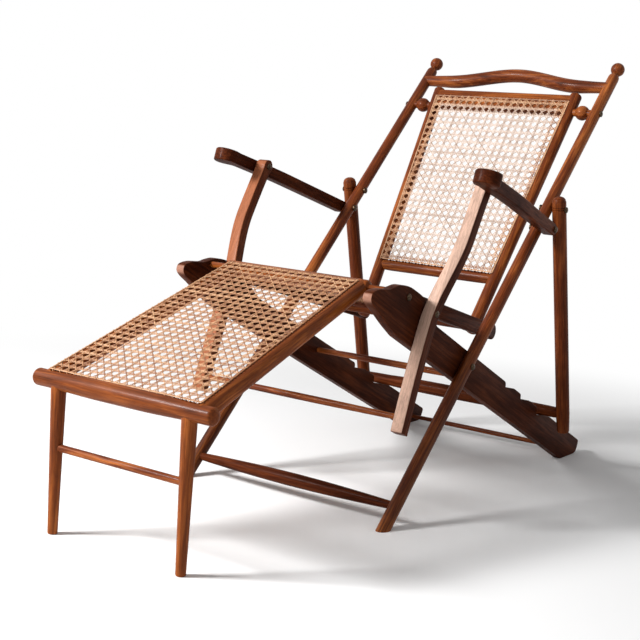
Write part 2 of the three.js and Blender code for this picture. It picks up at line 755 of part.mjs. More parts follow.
// Screw from the inner side of an arm support into the arm, with its head towards the middle
function armScrew(side) {
  const inner = supportInner + supportFlare - gap;
  return pin(-inner - supportWidth, -inner, supportTopAt, -side);
}

function armSupports() {
  const frame = bodyAt(supportPivot, supportLean);
  sides.forEach(([name, side]) => frame.add(piece(`arm_support_${name}`, armSupport(side), wood)));
  const share = supportRodUp / (supportTopAt.z - supportFootAt.z);
  const half = supportInner - gap;
  const rod = swelled(2 * half, supportRodDiameter * 0.4, supportRodDiameter / 2);
  frame.add(piece('support_stretcher', across(half, rod, supportLine(share)), wood));
  sides.forEach(([name, side]) => frame.add(piece(`arm_screw_${name}`, armScrew(side), darkMetal)));
  return frame;
}

// Arms: flat boards with a half-round front end, narrow at the pole and turned outwards to the front

function armPlan(side) {
  const radius = armWidth / 2;
  const rear = armThickness / 2;
  const innerAt = (y) => armInner - y * armSplay;
  const centreY = -armLength + radius;
  const centre = innerAt(centreY) + radius;
  const shape = new THREE.Shape();
  const x = (value) => side * value;
  shape.moveTo(x(innerAt(rear)), rear);
  shape.lineTo(x(innerAt(centreY)), centreY);
  for (let i = 1; i <= 2 * arcSteps; i += 1) {
    const angle = lerp(Math.PI, Math.PI * 2, i / (2 * arcSteps));
    shape.lineTo(x(centre + radius * Math.cos(angle)), centreY + radius * Math.sin(angle));
  }
  const waistY = -armLength + armWaist;
  const waist = innerAt(waistY) + armRearWidth;
  shape.bezierCurveTo(x(innerAt(centreY) + armWidth), lerp(centreY, waistY, 0.45),
    x(waist + armWidth / 8), lerp(waistY, centreY, 0.2), x(waist), lerp(waistY, 0, 0.3));
  shape.lineTo(x(innerAt(rear) + armRearWidth), rear);
  return shape;
}

function armBoard(side) {
  const half = armThickness / 2;
  const settings = { depth: armThickness + 2 * overrun, bevelEnabled: false, curveSegments: arcSteps };
  const plan = new THREE.ExtrudeGeometry(armPlan(side), settings).translate(0, 0, -half - overrun);
  const profile = new THREE.Shape();
  profile.absarc(0, 0, half, -Math.PI / 2, Math.PI / 2, false);
  profile.lineTo(-armLength - overrun, half);
  profile.lineTo(-armLength - overrun, -half);
  const slab = board(profile, armInner - armWidth, 3 * armWidth, side);
  const hole = crossHole(side * (armInner + armRearWidth / 2), sidePoint(0, 0), boltHole, armRearWidth);
  return toGeometry(toSolid(plan).intersect(toSolid(slab)).subtract(toSolid(hole)));
}

function arm([name, side]) {
  const frame = bodyAt(armPivot, -armRise);
  frame.add(piece(`arm_${name}`, armBoard(side), darkWood));
  return frame;
}

// Leg rest: a caned frame that hangs on the planks' heads by its rear rail, with two legs
const legRailAt = (reach) => lerp(legRestRearHalf, legRestFrontHalf, reach / legRestLength);

function legRestSideRail(side, extra = 0) {
  const radius = legRailDiameter / 2 + extra;
  const from = new THREE.Vector3(side * legRailAt(0), 0, 0);
  const to = new THREE.Vector3(side * legRailAt(legRestLength), -legRestLength, 0);
  const length = from.distanceTo(to);
  return laid(turned([[0, radius], [length, radius]], roundSides), from, to);
}

function legRestFrontRail(extra = 0) {
  const radius = frontRailDiameter / 2 + extra;
  const end = roundEnd(0, frontRailDome, radius);
  const profile = [...end, ...flipped(end, 2 * frontRailHalf)];
  return across(frontRailHalf, profile, sidePoint(-legRestLength, 0), roundSides);
}

function legRestRearRail(extra = 0) {
  const half = plankOuter - pegShort;
  const body = legRestRearHalf + legRailDiameter / 2;
  const radius = rearRailDiameter / 2 + extra;
  const peg = pegDiameter / 2;
  const start = half - body;
  const first = [[0, peg], [start - peg / 2, peg], [start, radius * 0.8], [start + peg / 2, radius]];
  return across(half, [...first, ...flipped(first, 2 * half)], sidePoint(0, 0), roundSides);
}

function leg(side, extra = 0) {
  const foot = seenFrom(legRestPivot, legRestAngle, sidePoint(legRestFront.y, 0));
  const from = new THREE.Vector3(side * legHalf, foot.y, foot.z);
  const to = new THREE.Vector3(side * legHalf, -legRestLength, 0);
  const profile = [[0, legFootDiameter / 2 + extra], [from.distanceTo(to), legTopDiameter / 2 + extra]];
  return laid(turned(profile, roundSides), from, to);
}

const legRestFront = along(legRestPivot, Math.PI + legRestAngle, legRestLength);

function legStretcher() {
  const at = seenFrom(legRestPivot, legRestAngle, sidePoint(legRestFront.y, legStretcherHeight));
  const radius = legStretcherDiameter / 2;
  const rod = across(legHalf, [[0, radius], [2 * legHalf, radius]], at);
  return cut(rod, leg(1, gap), leg(-1, gap));
}

function legRest() {
  const frame = bodyAt(legRestPivot, legRestAngle);
  sides.forEach(([name, side]) => {
    const rail = cut(legRestSideRail(side), legRestFrontRail(gap), legRestRearRail(gap));
    frame.add(piece(`leg_rest_side_rail_${name}`, rail, wood));
    frame.add(piece(`leg_${name}`, cut(leg(side), legRestFrontRail(gap)), wood));
  });
  frame.add(piece('leg_rest_front_rail', legRestFrontRail(), wood));
  frame.add(piece('leg_rest_rear_rail', legRestRearRail(), wood));
  frame.add(piece('leg_stretcher', legStretcher(), wood));
  const low = -legRestLength + caneInset(frontRailDiameter, legRailDiameter);
  const cane = caneSheet(low, legRailAt(-low), 0, legRestRearHalf);
  frame.add(piece('leg_rest_cane', cane.translate(0, 0, caneLift(legRailDiameter)), tanCane));
  return frame;
}

// The whole chair, moved so that the origin is under the middle of its length
const chair = new THREE.Group();
chair.add(sideFrame(), backPoles(), propFrame(), backPanel(), seatPanel(), armSupports(), legRest());
sides.forEach((side) => chair.add(arm(side)));
const reach = new THREE.Box3().setFromObject(chair, true);
chair.position.y = -(reach.min.y + reach.max.y) / 2;

const deckChair = new THREE.Group();
deckChair.add(chair);
export default deckChair;
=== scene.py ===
"""The looks of a folding deck chair with caned back, seat and leg rest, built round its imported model.

Metres, +Z up. The sitter faces -Y, and +X is on the sitter's left, which is the near side in the picture.
Each piece is made in the frame of its group, such as the poles or the back, and then rides on that body.
"""

import json
import math
import random

import bmesh
import bpy
from mathutils import Matrix, Vector


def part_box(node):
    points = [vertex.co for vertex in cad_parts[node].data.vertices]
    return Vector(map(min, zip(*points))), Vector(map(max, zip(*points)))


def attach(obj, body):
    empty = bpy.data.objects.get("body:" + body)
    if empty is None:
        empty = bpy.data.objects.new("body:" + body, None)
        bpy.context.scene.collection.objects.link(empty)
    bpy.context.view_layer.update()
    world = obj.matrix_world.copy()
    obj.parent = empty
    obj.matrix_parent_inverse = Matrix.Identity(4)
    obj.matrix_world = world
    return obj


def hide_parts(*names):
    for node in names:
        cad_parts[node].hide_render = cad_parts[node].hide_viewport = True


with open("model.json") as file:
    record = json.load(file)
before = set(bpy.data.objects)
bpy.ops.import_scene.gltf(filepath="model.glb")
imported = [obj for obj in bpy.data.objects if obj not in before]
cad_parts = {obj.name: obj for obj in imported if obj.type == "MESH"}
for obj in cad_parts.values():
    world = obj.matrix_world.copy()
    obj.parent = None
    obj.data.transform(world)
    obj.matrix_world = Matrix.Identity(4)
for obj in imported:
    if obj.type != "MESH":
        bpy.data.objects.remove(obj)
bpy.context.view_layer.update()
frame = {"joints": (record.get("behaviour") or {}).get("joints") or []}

# Fineness of the meshes
ROUND_SIDES = 48
ROD_SIDES = 32
BOLT_SIDES = 24
ARC_STEPS = 10
CURVE_STEPS = 6
SPLINE_STEPS = 5
SMOOTH_ANGLE = math.radians(38)
CANE_SMOOTH_ANGLE = math.radians(70)
SAME_POINT = 1e-6
PLAY = 0.0003

SIDES = (("left", 1), ("right", -1))

# Planks. The nose is given in shares of its length and of the plank's width, first below and then over
# the top, a notch by its distance before the rail and its lead-in, a stretcher by place and diameter.
PLANK_ANGLE = math.radians(-24.5)
PLANK_WIDTH = 0.0684
PLANK_THICKNESS = 0.0196
PLANK_INNER = 0.212
HEAD_LENGTH = 0.258
HEAD_START = 0.136
PLANK_REAR = 0.691
PLANK_HEEL = 0.009
TAIL_CORNER = 0.008
HEAD_SHARES = (
    (0.5, -0.5), (0.674, -0.39), (0.829, -0.26), (0.926, -0.2), (0.981, -0.11),
    (0.99, 0.05), (0.965, 0.17), (0.911, 0.3), (0.849, 0.395), (0.779, 0.5), (0.729, 0.637),
    (0.655, 0.804), (0.554, 0.914), (0.457, 0.947), (0.287, 0.925), (0.13, 0.67),
)
NOTCH_RAIL_UP = 0.041
NOTCHES = ((0.219, 0.015), (0.13, 0.016), (0.0, 0.044))
NOTCH_STEP = 0.01
NOTCH_SLOPE = math.radians(13)
STRETCHERS = (("middle", 0.14, 0.01, 0.015), ("rear", 0.634, -0.003, 0.012))
ROD_TENON = 0.004
ROD_END_SHARE = 0.8

# Poles
POLE_X = 0.2449
POLE_DIAMETER = 0.026
POLE_FOOT = 0.3963
POLE_TOP = 0.8917
FINIAL_DIAMETER = 0.032
FINIAL_NECK = 0.012
NECK_LENGTH = 0.006
SHOULDER = ((0.012, 1), (0.0075, 0.975), (0.0035, 0.88), (0.001, 0.72), (0, 0.56))
TOP_RAIL_REACH = 0.833
TOP_RAIL_DROP = 0.004
TOP_RAIL_RISE = 0.03
TOP_RAIL_BOW = 0.72
TOP_RAIL_FULL = (0.02, 0.2)
TOP_RAIL_END = 0.0265
TOP_RAIL_DIAMETER = 0.032
SPINDLE_REACH = -0.342
SPINDLE_END = 0.015
SPINDLE_DIAMETER = 0.0275
BEAD_DIAMETER = 0.034
BEAD_COLLAR = 0.017

# Prop
PROP_X = 0.2737
PROP_DIAMETER = 0.031
PROP_FOOT_DIAMETER = 0.028
PROP_FOOT_CORNER = ((0, 0.003), (0.0008, 0.0012), (0.003, 0))
PROP_TOP = 0.029
PROP_GROOVES = (0.028, 0.0235)
PROP_GROOVE_SHAPE = ((-0.0016, 0), (-0.0007, 0.0016), (0.0007, 0.0016), (0.0016, 0))
PROP_STEP = ((0.0125, 0), (0.0105, 0.0006))
PROP_DOME = 0.0095
PROP_DOME_STEP = 0.0012
PROP_RAIL_REACH = 0.487
PROP_FOOT = 0.533
PROP_SEAT_DIAMETER = 0.026
PROP_RAIL_STOPS = (
    (PROP_X, 0.023), (0.236, PROP_SEAT_DIAMETER), (0.2, 0.0266), (0.17, 0.029), (0.12, 0.0312),
    (0.06, 0.032), (0, 0.032),
)

# Caned back
STILE_DIAMETER = 0.028
STILE_ENDS = (-0.59, 0.052)
STILE_DOME = 0.008
BACK_TOP_HALF = 0.1815
BACK_BOTTOM_HALF = 0.15
BACK_TOP_RAIL = 0.0314
BACK_BOTTOM_RAIL = -0.452
BACK_RAIL_DIAMETER = 0.025
BACK_BOARD_BOTTOM = -0.006
BACK_BOARD_CORNER = 0.0085
BACK_CANE_TOP = 0.021
BACK_CANE_BOTTOM = -0.443
BACK_CANE_INSET = 0.004

# Caned seat
SEAT_LENGTH = 0.4478
SEAT_BAR_HEIGHT = 0.032
SEAT_BAR_THICKNESS = 0.019
SEAT_EYE = 0.0175
SEAT_TAIL = 0.033
SEAT_FRONT_RAIL = 0.027
SEAT_REAR_RAIL = SEAT_LENGTH - 0.046
SEAT_RAIL_DIAMETER = 0.023
SEAT_RAIL_TENON = 0.003
SEAT_TAPER = 0.073
SEAT_CANE_INSET = 0.001
SEAT_CANE_LIFT = 0.0015

# Arm supports and arms
SUPPORT_WIDTH = 0.026
SUPPORT_DEPTH = 0.025
SUPPORT_CORNER = 0.0026
SUPPORT_FOOT_RINGS = ((0, 0.002, 0.003), (0.0012, 0.0008, SUPPORT_CORNER))
SUPPORT_HEAD = 0.0145
SUPPORT_FOOT_LENGTH = 0.238
SUPPORT_FOOT_ANGLE = math.radians(-110)
SUPPORT_FLARE = 0.026
SUPPORT_FLARE_SPAN = (-0.028, 0.16)
SUPPORT_ROD_UP = 0.03
SUPPORT_ROD_DIAMETER = 0.014
SUPPORT_INNER = 0.2319
ARM_LENGTH = 0.423
ARM_THICKNESS = 0.026
ARM_CORNER = 0.003
ARM_DISC = 0.054
ARM_DISC_INSET = 0.003
ARM_WIDTH = 0.029
ARM_REAR_WIDTH = 0.027
ARM_NARROWING = (-0.3, 0)
ARM_DIP = 0.005
ARM_INNER = 0.2594
ARM_TIP_INNER = 0.2855

# Leg rest
LEG_RAIL_DIAMETER = 0.032
LEG_REST_LENGTH = 0.502
LEG_REST_REAR_HALF = 0.153
LEG_REST_FRONT_HALF = 0.172
FRONT_RAIL_DIAMETER = 0.031
FRONT_RAIL_MIDDLE = 0.036
FRONT_RAIL_SWELL = (0.1, 0.75)
FRONT_RAIL_DOME = 0.009
FRONT_RAIL_HALF = 0.205
LEG_CANE_INSET = 0.0065
LEG_CANE_REAR = 0.009
LEG_CANE_LIFT = 0.0005
REAR_RAIL_DIAMETER = 0.028
REAR_SHOULDER = ((-0.0015, 0.55), (0, 0.8), (0.002, 0.93), (0.005, 1))
PEG_DIAMETER = 0.012
PEG_SHORT = 0.003
LEG_HALF = 0.149
LEG_TOP_DIAMETER = 0.0275
LEG_FOOT_DIAMETER = 0.018
LEG_FOOT_CORNER = ((0, 0.0022), (0.0012, 0.0004))
LEG_STRETCHER_HEIGHT = 0.156
LEG_STRETCHER_DIAMETER = 0.0135

# Cane: strands in pairs across and along, and single ones both ways between. Sections and loops are
# pairs of a place across and a height, a peg's levels are pairs of a height and a share of its radius.
CANE_PITCH = 0.0172
CANE_PAIR = 0.00135
CANE_WIDTH = 0.0019
CANE_DEPTH = 0.0009
CANE_WEAVE = 0.00055
CANE_SLANT_WEAVE = 0.00095
CANE_PLUNGE = 0.004
CANE_SECTION = ((1, 0), (0.45, 0.5), (-0.45, 0.5), (-1, 0), (0, -0.5))
CANE_BEND = 0.0008
CANE_END = 0.001
BINDER_WIDTH = 0.0028
BINDER_STEP = 0.004
BINDER_RISE = 0.0011
LOOP_SHAPE = (
    (-0.0031, -0.003), (-0.0025, 0.0009), (-0.0014, 0.0019), (0.0014, 0.0019), (0.0025, 0.0009),
    (0.0031, -0.003),
)
PEG_HOLE_RADIUS = 0.0013
PEG_HOLE_OUT = 0.0024
PEG_LEVELS = ((-CANE_PLUNGE, 1), (0.0002, 1), (0.0007, 0.6))
PEG_SIDES = 8

# Bolts
BOLT_RADIUS = 0.003
BOLT_HEAD_RADIUS = 0.007
BOLT_HEAD_HEIGHT = 0.004
BOLT_EDGE = 0.0007

# Looks: noises by their scale along X, Y and Z, detail, roughness and distortion, and the places of the
# ramps' stops, with a grey or a share of the colour where the material doesn't give the shades
WOOD_NOISES = (
    ((22, 22, 4.5), 3, 0.6, 0.4), ((210, 210, 9), 6, 0.62, 0.5), ((700, 700, 26), 3, 0.6, 0),
    ((1500, 1500, 95), 2, 0.5, 0),
)
STAIN_STOPS = (0.34, 0.53, 0.74)
# Painted highlight: wood faces turned to the front are mixed towards a paler colour by these stops, facing
# range and share
SHEEN_STOPS = ((0.37, 0.5), (0.53, 0.84), (0.68, 1))
SHEEN_FACING = (-0.6, -0.9)
SHEEN_SHARE = 0.92
# Wood darkened low: darker towards the bottom, by this share at the lower height and not at all above the
# upper one
DARKENED_HEIGHTS = (-0.1, 0.12)
DARKENED_SHARE = 0.45
FIBRE_STOPS = ((0.32, 0.66), (0.55, 1.0))
PORE_STOPS = ((0.3, 0.45), (0.42, 1.0))
EDGE_STOPS = ((0.52, 0.0), (0.6, 1.0))
WORN_STOPS = ((0.4, 0.2), (0.6, 0.8))
WOOD_ROUGHNESS = ((0.4, 0.54), (0.68, 0.4))
CANE_NOISES = (((55, 55, 55), 4, 0.6, 0), ((620, 620, 620), 2, 0.5, 0))
STRAW_STOPS = (0.28, 0.5, 0.74)
FLECK_STOPS = ((0.3, 0.7), (0.5, 1.0))
CANE_ROUGHNESS = ((0.3, 0.62), (0.7, 0.45))
RIM_DROP = 0.012
RIM_REACH = (0.034, 0.018)
RIM_SHARE = 0.9
METAL_NOISE = ((420, 420, 420), 4, 0.6, 0)
METAL_STOPS = (0.38, 0.62)
METAL_ROUGHNESS = ((0.35, 0.55), (0.65, 0.32))
WORLD_LEVEL = 0.3
FLOOR_GREY = 0.96
FLOOR_SIZE = 14
FLOOR_FADE = (0.9, 2.0)


# Places and groups


def middle(node):
    low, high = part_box(node)
    return (low + high) / 2


def side_point(point):
    return Vector((0, point.y, point.z))


def angle_of(start, end):
    return math.atan2(end.z - start.z, end.y - start.y)


def group(pivot, angle):
    return Matrix.Translation(pivot) @ Matrix.Rotation(angle, 4, "X")


def in_group(place, point):
    return place.inverted() @ point


PIVOTS = {joint["name"]: side_point(Vector(joint["pos_m"])) for joint in frame["joints"]}
CROSSING = PIVOTS["back_fold"]
BACK_PIVOT = PIVOTS["back_panel_tilt"]
PROP_PIVOT = PIVOTS["prop_swing"]
SEAT_PIVOT = PIVOTS["seat_tilt"]
SUPPORT_PIVOT = PIVOTS["arm_support_swing"]
ARM_PIVOT = PIVOTS["arm_left_swing"]
LEG_PIVOT = PIVOTS["leg_rest_lift"]
KNEE = side_point(middle("knee_pin_left"))
PROP_RAIL = side_point(middle("prop_rail"))
ARM_TIP = side_point(middle("arm_screw_left"))
LEG_FRONT = side_point(middle("leg_rest_front_rail"))
SUPPORT_FOOT = group(SUPPORT_PIVOT, SUPPORT_FOOT_ANGLE) @ Vector((0, SUPPORT_FOOT_LENGTH, 0))

PLANKS = group(CROSSING, PLANK_ANGLE)
POLES = group(CROSSING, angle_of(CROSSING, BACK_PIVOT) - math.pi / 2)
PROP = group(PROP_PIVOT, angle_of(PROP_RAIL, PROP_PIVOT) - math.pi / 2)
BACK = group(BACK_PIVOT, angle_of(KNEE, BACK_PIVOT) - math.pi / 2)
SEAT = group(SEAT_PIVOT, angle_of(SEAT_PIVOT, KNEE))
SUPPORTS = group(SUPPORT_PIVOT, angle_of(SUPPORT_FOOT, ARM_TIP) - math.pi / 2)
ARMS = group(ARM_PIVOT, angle_of(ARM_TIP, ARM_PIVOT))
LEG_REST = group(LEG_PIVOT, angle_of(LEG_FRONT, LEG_PIVOT))

X, Y, Z = [Vector(axis) for axis in ((1, 0, 0), (0, 1, 0), (0, 0, 1))]


# Materials


class Nodes:
    """Adds nodes to a tree and links them by short calls."""

    def __init__(self, tree):
        self.tree = tree

    def add(self, kind, settings=None, values=(), **sockets):
        """A new node, with values for its first sockets in order and for others by name."""
        made = self.tree.nodes.new(f"ShaderNode{kind}")
        for key, value in (settings or {}).items():
            setattr(made, key, value)
        for key, value in [*enumerate(values), *sockets.items()]:
            self.put(made, key, value)
        return made

    def put(self, made, key, value):
        socket = made.inputs[key.replace("_", " ") if isinstance(key, str) else key]
        if isinstance(value, bpy.types.NodeSocket):
            self.tree.links.new(value, socket)
        else:
            socket.default_value = value

    def shade(self, **sockets):
        for key, value in sockets.items():
            self.put(self.tree.nodes["Principled BSDF"], key, value)

    def noise(self, place, scale, detail, roughness, distortion):
        stretched = self.add("Mapping", Vector=place, Scale=scale).outputs["Vector"]
        made = self.add("TexNoise", Vector=stretched, Scale=1.0, Detail=detail, Roughness=roughness)
        self.put(made, "Distortion", distortion)
        return made.outputs["Fac"]

    def ramp(self, value, places, shades):
        made = self.add("ValToRGB", Fac=value)
        elements = made.color_ramp.elements
        while len(elements) < len(places):
            elements.new(0.5)
        for element, place, shade in zip(elements, places, shades):
            element.position = place
            element.color = shade
        return made.outputs["Color"]

    def grey_ramp(self, value, stops):
        places, greys = zip(*stops)
        return self.ramp(value, places, [(grey, grey, grey, 1) for grey in greys])

    def mixed(self, share, first, second, blend="MIX"):
        made = self.add("Mix", {"data_type": "RGBA", "blend_type": blend})
        for key, value in ((0, share), (6, first), (7, second)):
            self.put(made, key, value)
        return made.outputs[2]

    def maths(self, operation, first, second):
        return self.add("Math", {"operation": operation}, (first, second)).outputs[0]

    def weighed(self, first, first_share, second, second_share):
        parts = self.maths("MULTIPLY", first, first_share), self.maths("MULTIPLY", second, second_share)
        return self.maths("ADD", *parts)

    def axis(self, vector, name):
        return self.add("SeparateXYZ", Vector=vector).outputs[name]

    def eased(self, value, low, high, first=0.0, last=1.0):
        """Goes smoothly from first to last as the value goes from low to high."""
        made = self.add("MapRange", {"interpolation_type": "SMOOTHSTEP"}, (value, low, high, first, last))
        return made.outputs["Result"]

    def bump(self, height, strength, distance):
        made = self.add("Bump", Height=height, Strength=strength, Distance=distance)
        return made.outputs["Normal"]

    def seen(self):
        """1 where a ray comes from the camera, straight, through glass or by a mirror, otherwise 0."""
        rays = self.add("LightPath").outputs
        direct = self.maths("MAXIMUM", rays["Is Camera Ray"], rays["Is Transmission Ray"])
        return self.maths("MAXIMUM", direct, rays["Is Glossy Ray"])


def new_material(name):
    made = bpy.data.materials.new(name)
    made.use_nodes = True
    return made, Nodes(made.node_tree)


def colour(shown, share=1.0):
    """A colour as the screen shows it, from 0 to 255, in Blender's linear numbers, dimmed to a share."""
    shares = [value / 255 for value in shown]
    linear = [s / 12.92 if s <= 0.04045 else ((s + 0.055) / 1.055) ** 2.4 for s in shares]
    return (*(value * share for value in linear), 1)


def colours(shades):
    return [colour(shade) for shade in shades]


def wood(name, shades, shine, front_sheen=None, tilt=0.0, darkened_low=False):
    """Stained and varnished hardwood whose grain runs along each piece's own Z, or at a tilt to it
    about X. With a front sheen, faces turned to the front are painted paler, a painted highlight,
    and wood darkened low is darker towards the bottom."""
    made, nodes = new_material(name)
    texture = nodes.add("TexCoord").outputs
    place = nodes.add("Mapping", Vector=texture["Object"], Rotation=(tilt, 0, 0)).outputs["Vector"]
    shift = nodes.maths("MULTIPLY", nodes.add("ObjectInfo").outputs["Random"], 9.0)
    place = nodes.add("VectorMath", {"operation": "ADD"}, (place, shift)).outputs["Vector"]
    broad, grain, fibre, pores = [nodes.noise(place, *noise) for noise in WOOD_NOISES]
    tone = nodes.weighed(grain, 0.55, broad, 0.55)
    stain = nodes.ramp(tone, STAIN_STOPS, colours(shades))
    # Painted highlight: faces turned to the front are mixed towards the paler front-sheen colour
    if front_sheen:
        front = nodes.eased(nodes.axis(texture["Normal"], "Y"), *SHEEN_FACING)
        places, shares = zip(*SHEEN_STOPS)
        sheen = nodes.ramp(tone, places, [colour(front_sheen, share) for share in shares])
        stain = nodes.mixed(nodes.maths("MULTIPLY", front, SHEEN_SHARE), stain, sheen)
    # Darker towards the bottom: the colour is multiplied down below the upper height
    if darkened_low:
        low_darkening = nodes.eased(nodes.axis(texture["Object"], "Z"), *DARKENED_HEIGHTS, DARKENED_SHARE)
        stain = nodes.mixed(1.0, stain, low_darkening, "MULTIPLY")
    dots = nodes.grey_ramp(pores, PORE_STOPS)
    stain = nodes.mixed(0.7, stain, nodes.grey_ramp(fibre, FIBRE_STOPS), "MULTIPLY")
    stain = nodes.mixed(0.6, stain, dots, "MULTIPLY")
    edge = nodes.grey_ramp(nodes.add("NewGeometry").outputs["Pointiness"], EDGE_STOPS)
    worn = nodes.maths("MULTIPLY", edge, nodes.grey_ramp(grain, WORN_STOPS))
    nodes.shade(
        Base_Color=nodes.mixed(worn, stain, colour(shades[2])),
        Roughness=nodes.grey_ramp(tone, WOOD_ROUGHNESS),
        Normal=nodes.bump(nodes.weighed(dots, 0.7, grain, 0.6), 0.35, 0.0004),
        Specular_IOR_Level=shine, Coat_Weight=shine * 0.6, Coat_Roughness=0.15,
    )
    return made


def cane(name, shades, sheet=None, rim_shades=()):
    """Split cane with a soft shine, each strand a little lighter or darker than the next. Given the
    sheet and the rim's shades, it is browner over the frame, where less light has reached it."""
    made, nodes = new_material(name)
    place = nodes.add("TexCoord").outputs["Object"]
    strand = nodes.add("Attribute", {"attribute_name": "strand"}).outputs["Fac"]
    mottle, fleck = [nodes.noise(place, *noise) for noise in CANE_NOISES]
    tone = nodes.weighed(strand, 0.4, mottle, 0.6)
    straw = nodes.ramp(tone, STRAW_STOPS, colours(shades))
    if sheet:
        low, low_half, high, high_half = sheet
        slope = (high_half - low_half) / (high - low)
        x, y = nodes.axis(place, "X"), nodes.axis(place, "Y")
        half = nodes.maths("ADD", nodes.maths("MULTIPLY", y, slope), low_half - slope * low)
        inside = nodes.maths("SUBTRACT", half, nodes.maths("ABSOLUTE", x, 0.0))
        inside = nodes.maths("MINIMUM", inside, nodes.maths("SUBTRACT", high, y))
        inside = nodes.maths("MINIMUM", inside, nodes.maths("SUBTRACT", y, low - RIM_DROP))
        brown = nodes.maths("MULTIPLY", nodes.eased(inside, *RIM_REACH), RIM_SHARE)
        straw = nodes.mixed(brown, straw, nodes.ramp(tone, STRAW_STOPS, colours(rim_shades)))
    nodes.shade(
        Base_Color=nodes.mixed(0.6, straw, nodes.grey_ramp(fleck, FLECK_STOPS), "MULTIPLY"),
        Roughness=nodes.grey_ramp(mottle, CANE_ROUGHNESS),
        Normal=nodes.bump(fleck, 0.3, 0.0002),
    )
    return made


def aged_metal(name, shades):
    made, nodes = new_material(name)
    patches = nodes.noise(nodes.add("TexCoord").outputs["Object"], *METAL_NOISE)
    nodes.shade(
        Base_Color=nodes.ramp(patches, METAL_STOPS, colours(shades)),
        Roughness=nodes.grey_ramp(patches, METAL_ROUGHNESS),
        Normal=nodes.bump(patches, 0.25, 0.0002), Metallic=1,
    )
    return made


WARM_SHADES = ((42, 15, 5), (106, 47, 16), (184, 106, 50))
WARM_WOOD = wood("warm_wood", WARM_SHADES, 0.09)
# The poles' wood is darker towards the bottom
POLE_WOOD = wood("pole_wood", WARM_SHADES, 0.1, darkened_low=True)
PROP_WOOD = wood("prop_wood", ((36, 13, 5), (88, 37, 12), (150, 80, 36)), 0.07)
ORANGE_WOOD = wood("orange_wood", ((62, 25, 7), (114, 54, 17), (172, 96, 40)), 0.09)
DARK_WOOD = wood("dark_wood", ((32, 11, 4), (66, 27, 11), (108, 53, 25)), 0.025)
# The planks' front sheen is a painted highlight on their faces turned to the front
PLANK_WOOD = wood(
    "plank_wood", ((30, 11, 5), (62, 26, 12), (98, 48, 23)), 0.02,
    front_sheen=(176, 130, 110), tilt=math.pi / 2 - PLANK_ANGLE,
)
# Both supports are one wood: their front sheens are painted highlights, brighter on the near support than on
# the far one
NEAR_SUPPORT_WOOD = wood(
    "near_support_wood", ((28, 10, 5), (74, 34, 18), (112, 60, 36)), 0.03, front_sheen=(232, 192, 170)
)
FAR_SUPPORT_WOOD = wood(
    "far_support_wood", ((40, 15, 7), (92, 44, 24), (134, 74, 44)), 0.04, front_sheen=(164, 100, 68)
)
PALE_CANE = cane(
    "pale_cane", ((158, 124, 100), (200, 174, 156), (224, 204, 190)),
    (BACK_CANE_BOTTOM, BACK_BOTTOM_HALF, BACK_CANE_TOP, BACK_TOP_HALF),
    ((128, 78, 44), (178, 124, 82), (210, 162, 118)),
)
TAN_CANE = cane("tan_cane", ((122, 72, 38), (172, 120, 80), (208, 162, 120)))
BOLT_METAL = aged_metal("bolt_metal", ((34, 26, 20), (92, 76, 60)))


# Meshes: a shape is a pair of points and faces, a profile a list of distances and radii


def piece(name, shape, place, grain, material, body, slot, *nodes, sharp=SMOOTH_ANGLE, shades=()):
    """Makes an object whose own Z runs along the grain, lets it ride on a body and stand for CAD nodes."""
    points, faces = shape
    turn = Z.rotation_difference(grain).to_matrix().to_4x4()
    back = turn.inverted()
    mesh = bpy.data.meshes.new(name)
    mesh.from_pydata([back @ point for point in points], [], faces)
    if shades:
        mesh.attributes.new("strand", "FLOAT", "POINT").data.foreach_set("value", shades)
    face_outwards(mesh)
    mesh.materials.append(material)
    mesh.shade_smooth()
    mesh.set_sharp_from_angle(angle=sharp)
    made = bpy.data.objects.new(name, mesh)
    bpy.context.scene.collection.objects.link(made)
    made.matrix_world = place @ turn
    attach(made, body)
    if nodes:
        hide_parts(*nodes)


def face_outwards(mesh):
    """Joins points that coincide and turns every face outwards."""
    work = bmesh.new()
    work.from_mesh(mesh)
    bmesh.ops.remove_doubles(work, verts=work.verts, dist=SAME_POINT)
    bmesh.ops.recalc_face_normals(work, faces=work.faces)
    work.to_mesh(mesh)
    work.free()


def unpacked(work):
    """The shape that a bmesh holds, which is then freed."""
    work.verts.index_update()
    points = [vertex.co.copy() for vertex in work.verts]
    faces = [tuple(vertex.index for vertex in face.verts) for face in work.faces]
    work.free()
    return points, faces


def skin(rings):
    """A closed skin through rings of like counts."""
    count = len(rings[0])
    faces = []
    for row in range(len(rings) - 1):
        for i in range(count):
            low, low_next = row * count + i, row * count + (i + 1) % count
            faces.append((low, low_next, low_next + count, low + count))
    last = (len(rings) - 1) * count
    faces.append(tuple(reversed(range(count))))
    faces.append(tuple(range(last, last + count)))
    return [point for ring in rings for point in ring], faces


def gathered(shapes):
    points, faces = [], []
    for more_points, more_faces in shapes:
        faces += [tuple(len(points) + i for i in face) for face in more_faces]
        points += more_points
    return points, faces


def circle(centre, radius, right, up, sides):
    return [
        centre + radius * (right * math.cos(a) + up * math.sin(a))
        for a in spaced(0, 2 * math.pi, sides)[:-1]
    ]


def tube(centres, radii):
    """A skin round a path, with each ring square to the path."""
    rings = []
    right = (centres[1] - centres[0]).normalized().orthogonal().normalized()
    for i, (centre, radius) in enumerate(zip(centres, radii)):
        run = (centres[min(i + 1, len(centres) - 1)] - centres[max(i - 1, 0)]).normalized()
        right = (right - run * right.dot(run)).normalized()
        rings.append(circle(centre, radius, right, run.cross(right), ROUND_SIDES))
    return skin(rings)


def turned(profile, start, end, sides=ROUND_SIDES):
    """A lathe-turned piece by its profile from start towards end."""
    run = (end - start).normalized()
    right = run.orthogonal().normalized()
    up = run.cross(right)
    return skin([circle(start + run * reach, radius, right, up, sides) for reach, radius in profile])


